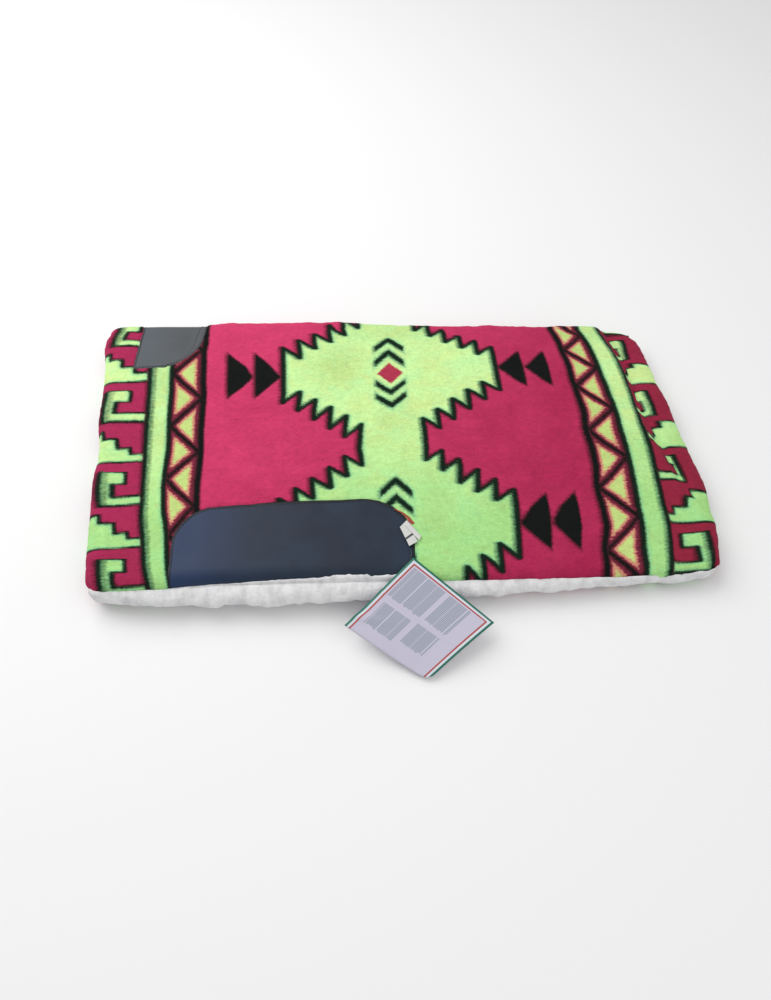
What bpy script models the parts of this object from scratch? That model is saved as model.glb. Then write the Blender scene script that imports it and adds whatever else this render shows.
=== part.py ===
"""Folded western saddle pad: plush cover, felt core, fleece lining, wear leathers and hang tag.

Metres, +Z up. X runs along the horse's spine with the front end (withers) at -X, the folded spine
edge is at +Y and the open hems are at -Y. The pad lies folded in half on a flat surface at z = 0.
"""
import math

import bmesh
import bpy
import numpy as np
from mathutils import Vector
from mathutils.bvhtree import BVHTree

# One half of the pad, in metres.
GAP = 0.0003                 # clearance between sewn layers
HALF = 0.0236                # thickness of one half, from cover to fleece
COVER = 0.0040               # woven plush cover with its backing
LINING_SHARE = 0.42          # part of the local thickness that is fleece
HINGE_Y = 0.1984             # where the flat halves stop and the fold starts
HEM_Y = -0.1952              # hem of the plush cover
LOWER_HINGE_Z = HALF / 2
UPPER_HINGE_Z = HALF * 3 / 2
ROLL_WIDTH = 0.020           # how far in from the hem the edge starts to round over
ROLL_RIM = 0.45              # share of the thickness that is left at the hem
CORNER = 0.030               # plan radius of the two free corners
RIM_STEP = 0.0034            # the fleece past the hem stands this much lower than the cover's rim
CORE_START, CORE_FULL = 0.018, 0.042   # the core tapers in between these distances from the edge
CORE_EDGE = 0.0025           # thickness of the core's feathered edge
BEND_STEPS = 5               # facets round each bend of the fold
FOLD_START = 1               # grid column where the folded strip starts
FOLD_STOP = -3               # and where it stops, short of the rounded rear corner

# Plan outline of the two ends, as (y, x) from the fold to the hem.
FRONT_END = [(0.1984, -0.4035), (0.135, -0.397), (0.090, -0.393), (0.044, -0.391), (0.007, -0.386),
             (-0.037, -0.384), (-0.077, -0.381), (-0.154, -0.375), (-0.196, -0.370)]
REAR_END = [(0.1984, 0.330), (0.190, 0.344), (0.176, 0.358), (0.142, 0.3700), (0.102, 0.3760),
            (0.062, 0.3830), (0.022, 0.3870), (-0.018, 0.3930), (-0.058, 0.3985), (-0.098, 0.3970),
            (-0.130, 0.3950), (-0.154, 0.3920), (-0.196, 0.3860)]
# How far the top lies below its nominal level along the pad, as (x, drop).
SAG = [(-0.40, -0.0015), (-0.34, -0.0010), (-0.25, 0.0), (-0.13, 0.0), (0.0, 0.0025), (0.16, 0.0050),
       (0.25, 0.0065), (0.30, 0.0080), (0.34, 0.0095), (0.40, 0.0105)]
FRONT_LIFT, REAR_DROP = 0.0010, 0.0045   # tilt of the plane where the two fleeces meet
CROWN = 0.0016
GROOVE_DEPTH = 0.0066        # crease where the rear border drops behind the core
GROOVE_HALF_WIDTH = 0.0145
GROOVE_INSET = 0.042         # distance of the crease from the rear end
# Fleece past the hem, as (x, length).
OVERHANG = [(-0.40, 0.011), (-0.32, 0.0150), (0.10, 0.0150), (0.25, 0.0110), (0.36, 0.0070), (0.41, 0.0050)]
END_OVERHANG = 0.0020

# Grid lines: distances from each edge, and fixed positions between.
EDGE_STEPS = [0.0, 0.007, 0.018, 0.042]
REAR_STEPS = [0.0, 0.007, 0.018, 0.030, 0.042, 0.057]
COLUMNS = [-0.305, -0.265, -0.225, -0.185, -0.145, -0.105, -0.065, -0.025, 0.015, 0.055, 0.095,
           0.135, 0.175, 0.215]
SLANTED = [1 / 3, 2 / 3]     # columns between the last fixed one and the crease, as shares of the way
ROWS = [HINGE_Y - GAP, 0.190, 0.176, 0.142, 0.102, 0.062, 0.022, -0.018, -0.058, -0.098, -0.130]

# Wear leathers and their stitching.
LEATHER_TOP = 0.0012         # leather surface below the pile
LEATHER = 0.0016
SIDE_LEATHER = (-0.274, 0.017, -0.0926)           # x from, x to, upper edge y
SIDE_RADII = (0.050, 0.040)                       # front and rear upper corner
WITHER_LEATHER = (-0.351, -0.258, 0.1324)         # x from, x to, lower edge y
WITHER_RADII = (0.004, 0.036)                     # front and rear lower corner
STITCH_INSET = 0.0045
STITCH_RADIUS = 0.00035
SEAM_RADIUS = 0.0008

# Hang tag, care label and ribbon tab.
LABEL = [(0.0082, -0.1198), (0.0243, -0.1430), (0.0218, -0.1490), (0.0094, -0.1560), (-0.0005, -0.1291)]
LABEL_THICKNESS = 0.0007
RIBBON = [(-0.0033, -0.1060), (0.0090, -0.1140), (0.0192, -0.1283)]
RIBBON_WIDTH, RIBBON_THICKNESS = 0.0032, 0.0006
THREAD_RADIUS = 0.0004
THREAD_EXIT = (0.0090, -0.1580)
THREAD_TIED = (0.100, 0.100)   # where the thread meets the back leaf, as shares of its two edges
THREAD_STEP = 0.0016
LEAF_CORNERS = [(0.0133, -0.1728, 0.0505), (0.1035, -0.2473, 0.0262), (0.0235, -0.3027, 0.0036),
                (-0.0690, -0.2477, 0.0262)]       # strung, rear, lowest and front corner
PAPER = 0.0003
LEAF_SPACING = 0.0007
LEAF_CELLS = 8


def clear_scene():
    for thing in list(bpy.data.objects):
        bpy.data.objects.remove(thing)
    for mesh in list(bpy.data.meshes):
        bpy.data.meshes.remove(mesh)


def collection(name):
    found = bpy.data.collections.new(name)
    bpy.context.scene.collection.children.link(found)
    return found


def material(name, rgb, roughness):
    """A Principled material; rgb is the display colour from 0 to 255."""
    made = bpy.data.materials.new(name)
    made.use_nodes = True
    shader = made.node_tree.nodes["Principled BSDF"]
    linear = [((c / 255 + 0.055) / 1.055) ** 2.4 if c > 10 else c / 3294 for c in rgb]
    shader.inputs["Base Color"].default_value = (*linear, 1)
    shader.inputs["Roughness"].default_value = roughness
    shader.inputs["Metallic"].default_value = 0
    made.diffuse_color = (*linear, 1)
    return made


def curve_at(table, where):
    """A table of (position, value) read at any positions, in rising or falling order."""
    table = sorted(table)
    return np.interp(where, [a for a, _ in table], [b for _, b in table])


def smooth(t):
    t = np.clip(t, 0, 1)
    return t * t * (3 - 2 * t)


def roll(across_end, across_hem):
    """Share of the full thickness at these distances from the end and from the hem."""
    short_x = np.maximum(0, 1 - across_end / ROLL_WIDTH)
    short_y = np.maximum(0, 1 - across_hem / ROLL_WIDTH)
    round_over = np.sqrt(np.maximum(0, 1 - short_x ** 2 - short_y ** 2))
    return ROLL_RIM + (1 - ROLL_RIM) * round_over


def middle_plane(x):
    """Height of the plane where the fleece of both halves meets."""
    return HALF + FRONT_LIFT - REAR_DROP * (x + 0.4) / 0.8


def full_thickness(side, x, y):
    """Thickness of one half away from its edges."""
    if side == "off":
        return middle_plane(x)
    toward_hem = np.clip((HINGE_Y - y) / 0.4, 0, 1)
    groove_x = curve_at(REAR_END, y) - GROOVE_INSET
    fading = (1 - smooth(-y / 0.12)) * (0.15 + 0.85 * smooth((HINGE_Y - y) / 0.03))
    groove = fading * np.maximum(0, 1 - ((x - groove_x) / GROOVE_HALF_WIDTH) ** 2)
    crown = CROWN * np.sin(math.pi * toward_hem) * np.maximum(0, 1 - (x / 0.34) ** 2)
    near_fold = 0.0010 * smooth(1 - (HINGE_Y - y) / 0.015)
    top = 2 * HALF - curve_at(SAG, x) + crown - GROOVE_DEPTH * groove - near_fold
    return top - middle_plane(x)


class Grid:
    """Plan positions of one half: rows from the fold to the hem, columns from front to rear."""

    def __init__(self, overhang=0.0):
        rows = np.array(ROWS + [HEM_Y + step for step in reversed(EDGE_STEPS)])
        front, rear = curve_at(FRONT_END, rows), curve_at(REAR_END, rows)
        inner = np.repeat(np.array(COLUMNS)[None, :], len(rows), 0)
        left = front[:, None] + np.array(EDGE_STEPS)[None, :]
        right = rear[:, None] - np.array(REAR_STEPS[::-1])[None, :]
        slanted = COLUMNS[-1] + (right[:, :1] - COLUMNS[-1]) * np.array(SLANTED)[None, :]
        x = np.hstack([left, inner, slanted, right])
        y = np.repeat(rows[:, None], x.shape[1], 1)
        self.to_end = np.minimum(x - front[:, None], rear[:, None] - x)
        self.to_hem = y - HEM_Y
        self.x, self.y = self.rounded(x, y)
        self.outside = np.zeros(x.shape, bool)
        if overhang:
            self.add_overhang(overhang)

    def rounded(self, x, y):
        """Both free corners drawn onto a quarter circle."""
        a = np.clip(1 - self.to_end / CORNER, 0, 1)
        b = np.clip(1 - self.to_hem / CORNER, 0, 1)
        sign = np.where(x < 0, -1, 1)
        moved_x = x + sign * CORNER * (a * np.sqrt(1 - b * b / 2) - a)
        moved_y = y - CORNER * (b * np.sqrt(1 - a * a / 2) - b)
        return moved_x, moved_y

    def add_overhang(self, share):
        """One more ring of points past the hem and both ends, at a share of the fleece's overhang."""
        rows, columns = self.x.shape
        x = np.pad(self.x, ((0, 1), (1, 1)), mode="edge")
        y = np.pad(self.y, ((0, 1), (1, 1)), mode="edge")
        hem = curve_at(OVERHANG, x[-1]) * share
        x[:, 0] -= END_OVERHANG * share
        x[:, -1] += END_OVERHANG * share
        y[-1] -= hem
        for column, inward in ((0, 1), (-1, -1)):
            corner_x, corner_y = self.x[-1, column], self.y[-1, column]
            out = (END_OVERHANG + hem[column]) / 2 * share
            for spot, degrees in (((-2, column), 28), ((-1, column), 45),
                                  ((-1, column + inward), 62)):
                turn = math.radians(degrees)
                x[spot] = corner_x - inward * out * math.cos(turn)
                y[spot] = corner_y - out * math.sin(turn)
        self.to_end = np.pad(self.to_end, ((0, 1), (1, 1)), mode="edge")
        self.to_hem = np.pad(self.to_hem, ((0, 1), (1, 1)), mode="edge")
        self.outside = np.ones(x.shape, bool)
        self.outside[:rows, 1:columns + 1] = False
        self.x, self.y = x, y

    def cut(self, rows, columns):
        """The same grid without its outer rows and columns."""
        part = object.__new__(Grid)
        for name in ("x", "y", "to_end", "to_hem", "outside"):
            setattr(part, name, getattr(self, name)[rows, columns])
        return part

    def levels(self, side):
        """Distance from the middle plane to the cover's face, its back and the fleece."""
        full = full_thickness(side, self.x, self.y)
        face = full * roll(self.to_end, self.to_hem)
        back = face - COVER
        inset = np.minimum(self.to_end, self.to_hem)
        fleece_inner = full * LINING_SHARE
        full_core = back - fleece_inner - 2 * GAP
        taper = np.clip((inset - CORE_START) / (CORE_FULL - CORE_START), 0, 1)
        core = CORE_EDGE + (full_core - CORE_EDGE) * taper
        has_core = inset > CORE_START - 1e-6
        fleece = np.where(has_core, back - 2 * GAP - core, back - GAP)
        fleece = np.where(self.outside, full * ROLL_RIM - RIM_STEP, fleece)
        return face, back, fleece


def heights(side, x, level):
    """World height of a level measured from the middle plane."""
    middle = middle_plane(x)
    return middle + level if side == "near" else middle - level


def grid_mesh(name, x, y, upper, lower):
    """A closed sheet over a grid: a plane grid is extruded and both skins are shaped."""
    rows, columns = x.shape
    bm = bmesh.new()
    bmesh.ops.create_grid(bm, x_segments=columns - 1, y_segments=rows - 1, size=0.5)
    bmesh.ops.triangulate(bm, faces=bm.faces[:], quad_method="FIXED")
    spots = {}
    for vert in bm.verts:
        column = round((vert.co.x + 0.5) * (columns - 1))
        row = round((0.5 - vert.co.y) * (rows - 1))
        spots[vert] = (row, column)
    first = list(bm.verts)
    raised = bmesh.ops.extrude_face_region(bm, geom=bm.faces[:], use_keep_orig=True)
    for vert in [g for g in raised["geom"] if isinstance(g, bmesh.types.BMVert)]:
        column = round((vert.co.x + 0.5) * (columns - 1))
        row = round((0.5 - vert.co.y) * (rows - 1))
        vert.co = (x[row, column], y[row, column], upper[row, column])
    for vert in first:
        spot = spots[vert]
        vert.co = (x[spot], y[spot], lower[spot])
    bmesh.ops.triangulate(bm, faces=[f for f in bm.faces if len(f.verts) > 3], quad_method="FIXED")
    bmesh.ops.recalc_face_normals(bm, faces=bm.faces[:])
    mesh = bpy.data.meshes.new(name)
    bm.to_mesh(mesh)
    bm.free()
    return mesh


def add_object(name, mesh, into, look=None):
    thing = bpy.data.objects.new(name, mesh)
    into.objects.link(thing)
    if look:
        mesh.materials.append(look)
    return thing


def layer(name, grid, side, outer, inner, into, look=None):
    """One sewn layer between two levels."""
    a, b = heights(side, grid.x, outer), heights(side, grid.x, inner)
    return add_object(name, grid_mesh(name, grid.x, grid.y, np.maximum(a, b), np.minimum(a, b)), into, look)


def prism(name, outline, z_from, z_to, into, look=None):
    """An upright prism over a plan outline."""
    bm = bmesh.new()
    face = bm.faces.new([bm.verts.new((px, py, z_from)) for px, py in outline])
    top = bmesh.ops.extrude_face_region(bm, geom=[face], use_keep_orig=True)
    for vert in [g for g in top["geom"] if isinstance(g, bmesh.types.BMVert)]:
        vert.co.z = z_to
    bmesh.ops.recalc_face_normals(bm, faces=bm.faces[:])
    mesh = bpy.data.meshes.new(name)
    bm.to_mesh(mesh)
    bm.free()
    return add_object(name, mesh, into, look)


def boolean(thing, cutter, operation):
    modifier = thing.modifiers.new(cutter.name[:40], "BOOLEAN")
    modifier.operation = operation
    modifier.solver = "EXACT"
    modifier.object = cutter


def arc(centre, radius, start, stop, steps):
    """Points on an arc between two angles in degrees."""
    turns = [math.radians(start + (stop - start) * i / steps) for i in range(steps + 1)]
    return [(centre[0] + radius * math.cos(t), centre[1] + radius * math.sin(t)) for t in turns]


def side_leather_outline(inset):
    """Three-sided outline of the side wear leather, from the hem up and round to the hem."""
    x_from, x_to, top = SIDE_LEATHER
    x_from, x_to, top = x_from + inset, x_to - inset, top - inset
    front, rear = SIDE_RADII[0] - inset, SIDE_RADII[1] - inset
    return ([(x_from, HEM_Y)] + arc((x_from + front, top - front), front, 180, 90, 8)
            + arc((x_to - rear, top - rear), rear, 90, 0, 8) + [(x_to, HEM_Y)])


def wither_leather_outline(inset):
    """Outline of the wither wear leather, from the fold down and round to the fold."""
    x_from, x_to, bottom = WITHER_LEATHER
    x_from, x_to, bottom = x_from + inset, x_to - inset, bottom + inset
    front, rear = max(WITHER_RADII[0] - inset, 0.001), WITHER_RADII[1] - inset
    return ([(x_from, HINGE_Y)] + arc((x_from + front, bottom + front), front, 180, 270, 3)
            + arc((x_to - rear, bottom + rear), rear, 270, 360, 8) + [(x_to, HINGE_Y)])


def evenly(points, spacing):
    """A plan or space polyline resampled at an even spacing."""
    points = np.array(points, float)
    run = np.concatenate([[0], np.cumsum(np.linalg.norm(np.diff(points, axis=0), axis=1))])
    count = max(2, round(run[-1] / spacing) + 1)
    at = np.linspace(0, run[-1], count)
    return np.stack([np.interp(at, run, points[:, k]) for k in range(points.shape[1])], 1)


def tube(name, points, radius, resolution, into, look):
    """A closed round thread along a polyline, as a mesh with capped ends."""
    curve = bpy.data.curves.new(name + "_path", "CURVE")
    curve.dimensions = "3D"
    curve.bevel_depth = radius
    curve.bevel_resolution = resolution
    curve.use_fill_caps = True
    spline = curve.splines.new("POLY")
    spline.points.add(len(points) - 1)
    for spot, place in zip(spline.points, points):
        spot.co = (*place, 1)
    holder = bpy.data.objects.new(name + "_path", curve)
    bpy.context.scene.collection.objects.link(holder)
    bpy.context.view_layer.update()
    mesh = bpy.data.meshes.new_from_object(holder.evaluated_get(bpy.context.evaluated_depsgraph_get()))
    bpy.data.objects.remove(holder)
    bm = bmesh.new()
    bm.from_mesh(mesh)
    bmesh.ops.remove_doubles(bm, verts=bm.verts[:], dist=1e-6)
    bmesh.ops.recalc_face_normals(bm, faces=bm.faces[:])
    bm.to_mesh(mesh)
    bm.free()
    mesh.name = name
    mesh.materials.clear()
    return add_object(name, mesh, into, look)


def surface_of(thing):
    """The finished surface of an object, for laying threads on it."""
    bpy.context.view_layer.update()
    return BVHTree.FromObject(thing, bpy.context.evaluated_depsgraph_get())


def lay_on(points, surface, side, rise):
    """Plan points put on a surface and raised off it."""
    direction = Vector((0, 0, -1 if side == "near" else 1))
    laid = []
    for px, py in points:
        start = Vector((px, py, 0.2 if side == "near" else -0.2))
        hit = surface.ray_cast(start, direction)[0]
        laid.append((px, py, hit.z + (rise if side == "near" else -rise)))
    return laid


def make_half(side, piece, cutter, looks):
    """The sewn layers of one half, with its leathers let into the pile."""
    grid = Grid()
    face, back, fleece = grid.levels(side)
    cover = layer("cover_" + side, grid, side, face, back, piece, looks["cover"])
    inner = grid.cut(slice(0, -2), slice(2, -2))
    inner_face, inner_back, inner_fleece = inner.levels(side)
    layer("core_" + side, inner, side, inner_back - GAP, inner_fleece + GAP, piece, looks["core"])
    wide = Grid(1.0)
    wide_fleece = wide.levels(side)[2]
    layer("fleece_" + side, wide, side, wide_fleece, np.full(wide.x.shape, GAP / 2), piece,
          looks["fleece"])

    reach = Grid(0.4)
    reach_face = reach.levels(side)[0]
    for name, outline in (("side_leather_", side_leather_outline), ("wither_leather_", wither_leather_outline)):
        shape = outline(0)
        hole = outline(-GAP)
        if name == "side_leather_":
            shape = [(shape[0][0], HEM_Y - 0.02)] + shape[1:-1] + [(shape[-1][0], HEM_Y - 0.02)]
            hole = [(hole[0][0], HEM_Y - 0.02)] + hole[1:-1] + [(hole[-1][0], HEM_Y - 0.02)]
        else:
            shape = [(shape[0][0], HINGE_Y + 0.02)] + shape[1:-1] + [(shape[-1][0], HINGE_Y + 0.02)]
            hole = [(hole[0][0], HINGE_Y + 0.02)] + hole[1:-1] + [(hole[-1][0], HINGE_Y + 0.02)]
        pocket = layer(name + side + "_pocket", reach, side, reach_face + 0.004,
                       reach_face - LEATHER_TOP - LEATHER - GAP, cutter)
        boolean(pocket, prism(name + side + "_hole", hole, -0.1, 0.1, cutter), "INTERSECT")
        boolean(cover, pocket, "DIFFERENCE")
        leather = layer(name + side, grid, side, face - LEATHER_TOP, face - LEATHER_TOP - LEATHER,
                        piece, looks["leather"])
        boolean(leather, prism(name + side + "_shape", shape, -0.1, 0.1, cutter), "INTERSECT")
        row = outline(STITCH_INSET)
        if name == "side_leather_":
            row = [(row[0][0], HEM_Y + 0.010)] + row[1:-1] + [(row[-1][0], HEM_Y + 0.010)]
        else:
            row = [(row[0][0], HINGE_Y - 0.002)] + row[1:-1] + [(row[-1][0], HINGE_Y - 0.002)]
        path = lay_on(evenly(row, 0.008), surface_of(leather), side, GAP + STITCH_RADIUS)
        tube(name.replace("leather", "stitching") + side, path, STITCH_RADIUS, 1, piece, looks["thread"])
    hem_seam(side, grid, piece, looks["thread"])


def hem_seam(side, grid, piece, look):
    """The overlocked seam that joins cover and fleece, lying against the cover's rim."""
    face, back, fleece = grid.levels(side)
    x = np.concatenate([grid.x[1:-1, 0], grid.x[-1, :], grid.x[-2:0:-1, -1]])
    y = np.concatenate([grid.y[1:-1, 0], grid.y[-1, :], grid.y[-2:0:-1, -1]])
    rim = np.concatenate([face[1:-1, 0], face[-1, :], face[-2:0:-1, -1]])
    path = np.stack([x, y], 1)
    along = np.gradient(path, axis=0)
    along /= np.linalg.norm(along, axis=1)[:, None]
    out = np.stack([along[:, 1], -along[:, 0]], 1)
    path = path + out * (GAP + SEAM_RADIUS * 1.25)
    level = rim - SEAM_RADIUS
    z = heights(side, path[:, 0], level)
    tube("hem_seam_" + side, np.column_stack([path, z]), SEAM_RADIUS, 0, piece, look)


def make_spine(piece, cutter, looks):
    """The strip of cover and core that stands at the fold, and the round bends beside it."""
    grid = Grid()
    columns = slice(FOLD_START, FOLD_STOP + 1 if FOLD_STOP < -1 else None)
    x = grid.x[0, columns]
    to_end = grid.to_end[0, columns]
    depth = HALF / 2 * roll(to_end, np.full(x.shape, 1.0)) * (1 - 0.3 * smooth((x - 0.25) / 0.12))
    z_lines = np.array([LOWER_HINGE_Z + GAP, HALF, UPPER_HINGE_Z - GAP])
    across = np.repeat(x[None, :], 3, 0)
    up = np.repeat(z_lines[:, None], len(x), 1)
    outer = np.repeat((HINGE_Y + depth)[None, :], 3, 0)

    def upright(name, far, near, into, look=None):
        mesh = grid_mesh(name, across, up, far, near)
        mesh.transform(((1, 0, 0, 0), (0, 0, 1, 0), (0, 1, 0, 0), (0, 0, 0, 1)))
        mesh.flip_normals()
        return add_object(name, mesh, into, look)

    cover = upright("cover_spine", outer, outer - COVER, piece, looks["cover"])
    upright("core_spine", outer - COVER - GAP, np.full(outer.shape, HINGE_Y + GAP), piece, looks["core"])
    x_from, x_to = WITHER_LEATHER[:2]

    def slab(name, skin, x_pad, into, look=None):
        """A piece of the strip between two depths and two x positions."""
        thing = upright(name, outer - skin[0], outer - skin[1], into, look)
        block = prism(name + "_length", [(x_from - x_pad, 0), (x_to + x_pad, 0), (x_to + x_pad, 0.5),
                                         (x_from - x_pad, 0.5)], -0.1, 0.1, cutter)
        boolean(thing, block, "INTERSECT")
        return thing

    boolean(cover, slab("spine_pocket", (-0.004, LEATHER_TOP + LEATHER + GAP), GAP, cutter), "DIFFERENCE")
    slab("wither_leather_spine", (LEATHER_TOP, LEATHER_TOP + LEATHER), 0, piece, looks["leather"])

    pocket = LEATHER_TOP + LEATHER + GAP
    for side in ("off", "near"):
        face = Grid().levels(side)[0][0, columns]
        hinge_z = UPPER_HINGE_Z if side == "near" else LOWER_HINGE_Z
        sign = 1 if side == "near" else -1
        rise = np.abs(heights(side, x, face) - hinge_z)
        before, after = x[x < x_from - GAP], x[x > x_to + GAP]
        let_in = [x_from - GAP, x_to + GAP]
        where = np.concatenate([before, let_in[:1], let_in, let_in[1:], after])
        cut = np.concatenate([0 * before, [0, pocket, pocket, 0], 0 * after])
        mesh = bend_mesh("cover_bend_" + side, where, np.interp(where, x, depth) - cut,
                         np.interp(where, x, rise) - cut, None, hinge_z, sign)
        add_object("cover_bend_" + side, mesh, piece, looks["cover"])
        where = np.array([x_from, x_to])
        mesh = bend_mesh("wither_leather_bend_" + side, where,
                         np.interp(where, x, depth) - LEATHER_TOP,
                         np.interp(where, x, rise) - LEATHER_TOP, LEATHER, hinge_z, sign)
        add_object("wither_leather_bend_" + side, mesh, piece, looks["leather"])


def bend_mesh(name, where, deep, high, thickness, hinge_z, sign):
    """A quarter-round bend along X; with no thickness it is filled down to the hinge line."""
    turns = [math.radians(90 * i / BEND_STEPS) for i in range(BEND_STEPS + 1)]
    rings = []
    for px, dy, dz in zip(where, deep, high):
        ring = [(dy * math.cos(t), dz * math.sin(t)) for t in turns]
        ring[0], ring[-1] = (ring[0][0], GAP), (GAP, ring[-1][1])
        if thickness is None:
            ring.append((GAP, GAP))
        else:
            back = [((dy - thickness) * math.cos(t), (dz - thickness) * math.sin(t)) for t in turns]
            back[0], back[-1] = (back[0][0], GAP), (GAP, back[-1][1])
            ring += back[::-1]
        rings.append([(px, HINGE_Y + b, hinge_z + sign * c) for b, c in ring])
    bm = bmesh.new()
    loops = [[bm.verts.new(p) for p in ring] for ring in rings]
    count = len(loops[0])
    for first, second in zip(loops, loops[1:]):
        for i in range(count):
            j = (i + 1) % count
            bm.faces.new((first[i], first[j], second[j], second[i]))
    bm.faces.new(loops[0][::-1])
    bm.faces.new(loops[-1])
    bmesh.ops.triangulate(bm, faces=bm.faces[:])
    bmesh.ops.recalc_face_normals(bm, faces=bm.faces[:])
    mesh = bpy.data.meshes.new(name)
    bm.to_mesh(mesh)
    bm.free()
    return mesh


def top_level(x, y):
    """Height of the pad's upper face away from the edges."""
    return float(middle_plane(x) + full_thickness("near", np.array(x), np.array(y)))


def hinge_empty(name, place, into):
    """An empty on a joint's axis, which the moving pieces hang from."""
    empty = bpy.data.objects.new(name, None)
    empty.location = place
    empty.empty_display_size = 0.02
    into.objects.link(empty)
    return empty


def hang_from(empty, pieces):
    bpy.context.view_layer.update()
    for piece in pieces:
        piece.parent = empty
        piece.matrix_parent_inverse = empty.matrix_world.inverted()


def leaf_point(a, b, drop):
    """A point of the curled leaflet; a runs to the rear corner, b to the fold of the card."""
    strung, rear, low, front = (np.array(c) for c in LEAF_CORNERS)
    point = strung * (1 - a) * (1 - b) + rear * a * (1 - b) + low * a * b + front * (1 - a) * b
    belly = 0.0035 * math.sin(math.pi * b) * (0.4 + 0.6 * a)
    curl = 0.0060 * max(0.0, b - 0.72) / 0.28 * max(0.0, 0.55 - a) / 0.55
    rear_curl = 0.0022 * max(0.0, a - 0.8) / 0.2 * b
    point[2] += belly + curl + rear_curl - drop
    return point


def make_leaf(name, drop, into, look):
    """One leaf of the folded card."""
    bm = bmesh.new()
    bmesh.ops.create_grid(bm, x_segments=LEAF_CELLS, y_segments=LEAF_CELLS, size=0.5)
    bmesh.ops.triangulate(bm, faces=bm.faces[:], quad_method="FIXED")
    for vert in bm.verts:
        vert.co = Vector(leaf_point(vert.co.x + 0.5, vert.co.y + 0.5, drop))
    bmesh.ops.recalc_face_normals(bm, faces=bm.faces[:])
    mesh = bpy.data.meshes.new(name)
    bm.to_mesh(mesh)
    bm.free()
    leaf = add_object(name, mesh, into, look)
    thick = leaf.modifiers.new("paper thickness", "SOLIDIFY")
    thick.thickness = PAPER
    thick.offset = 0
    return leaf


def make_tag(piece, looks):
    """The thread and the two leaves of the care leaflet, which hang together."""
    ex, ey = THREAD_EXIT
    front = make_leaf("leaflet_front_leaf", 0.0, piece, looks["paper"])
    back = make_leaf("leaflet_back_leaf", LEAF_SPACING + PAPER, piece, looks["paper"])
    level = top_level(ex, ey) - LEATHER_TOP
    tied = leaf_point(*THREAD_TIED, LEAF_SPACING + PAPER)
    tied[2] -= PAPER / 2 + GAP + 1.2 * THREAD_RADIUS
    start = np.array([ex, ey, level + GAP + THREAD_RADIUS])
    lead = np.array([ex + 0.0026, ey - 0.0065, level + 0.0022])
    dip = np.array([ex + 0.0010, ey - 0.0150, level + 0.0012])
    below = tied + np.array([-0.0020, 0.0060, 0.0004])
    path = smooth_path([start, lead, dip, below, tied], THREAD_STEP)
    print("tag thread length %.1f mm" % (1000 * np.linalg.norm(np.diff(path, axis=0), axis=1).sum()))
    thread = tube("tag_thread", path, THREAD_RADIUS, 2, piece, looks["tag_thread"])
    swing = hinge_empty("tag_hinge", (ex, ey, start[2]), piece)
    hang_from(swing, [front, back, thread])


def smooth_path(points, spacing):
    """A Catmull-Rom curve through the points, resampled evenly."""
    points = [np.array(p, float) for p in points]
    ends = [2 * points[0] - points[1]] + points + [2 * points[-1] - points[-2]]
    fine = []
    for i in range(1, len(ends) - 2):
        p0, p1, p2, p3 = ends[i - 1:i + 3]
        for t in np.linspace(0, 1, 12, endpoint=False):
            fine.append(0.5 * (2 * p1 + (p2 - p0) * t + (2 * p0 - 5 * p1 + 4 * p2 - p3) * t ** 2
                               + (3 * p1 - p0 - 3 * p2 + p3) * t ** 3))
    fine.append(points[-1])
    return evenly(fine, spacing)


def make_label(piece, looks):
    """The folded satin care label, sewn in at the leather's edge, and the ribbon tab beside it."""
    level = max(top_level(px, py) for px, py in LABEL) + GAP
    label = prism("care_label", LABEL, level, level + LABEL_THICKNESS, piece, looks["satin"])
    sewn = ((LABEL[0][0] + LABEL[1][0]) / 2, (LABEL[0][1] + LABEL[1][1]) / 2, level)
    hang_from(hinge_empty("label_hinge", sewn, piece), [label])
    line = evenly(RIBBON, 0.006)
    along = np.gradient(line, axis=0)
    along /= np.linalg.norm(along, axis=1)[:, None]
    side = np.stack([-along[:, 1], along[:, 0]], 1) * RIBBON_WIDTH / 2
    outline = [tuple(p) for p in line - side] + [tuple(p) for p in (line + side)[::-1]]
    ribbon_level = max(top_level(px, py) for px, py in outline) + GAP
    prism("ribbon_tab", outline, ribbon_level, ribbon_level + RIBBON_THICKNESS, piece, looks["ribbon"])


def main():
    clear_scene()
    piece = collection("saddle_pad")
    cutter = collection("cutters")
    looks = {
        "cover": material("plush_cover", (200, 55, 104), 0.95),
        "core": material("felt_core", (150, 146, 138), 0.95),
        "fleece": material("fleece_lining", (224, 221, 214), 0.95),
        "leather": material("wear_leather", (60, 66, 80), 0.45),
        "thread": material("sewing_thread", (26, 27, 30), 0.8),
        "tag_thread": material("tag_thread", (70, 74, 78), 0.7),
        "satin": material("label_satin", (214, 214, 208), 0.4),
        "ribbon": material("ribbon", (190, 60, 58), 0.6),
        "paper": material("leaflet_paper", (200, 206, 224), 0.5),
    }
    for side in ("off", "near"):
        make_half(side, piece, cutter, looks)
    make_spine(piece, cutter, looks)
    make_label(piece, looks)
    make_tag(piece, looks)
    for side, z in (("lower", LOWER_HINGE_Z), ("upper", UPPER_HINGE_Z)):
        hinge_empty("fold_" + side + "_hinge", (0, HINGE_Y, z), piece)
    for thing in cutter.objects:
        thing.hide_render = True
        thing.display_type = "WIRE"


main()
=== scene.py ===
import math
from functools import partial

import bmesh
import bpy
import numpy as np
from mathutils import Matrix


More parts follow.
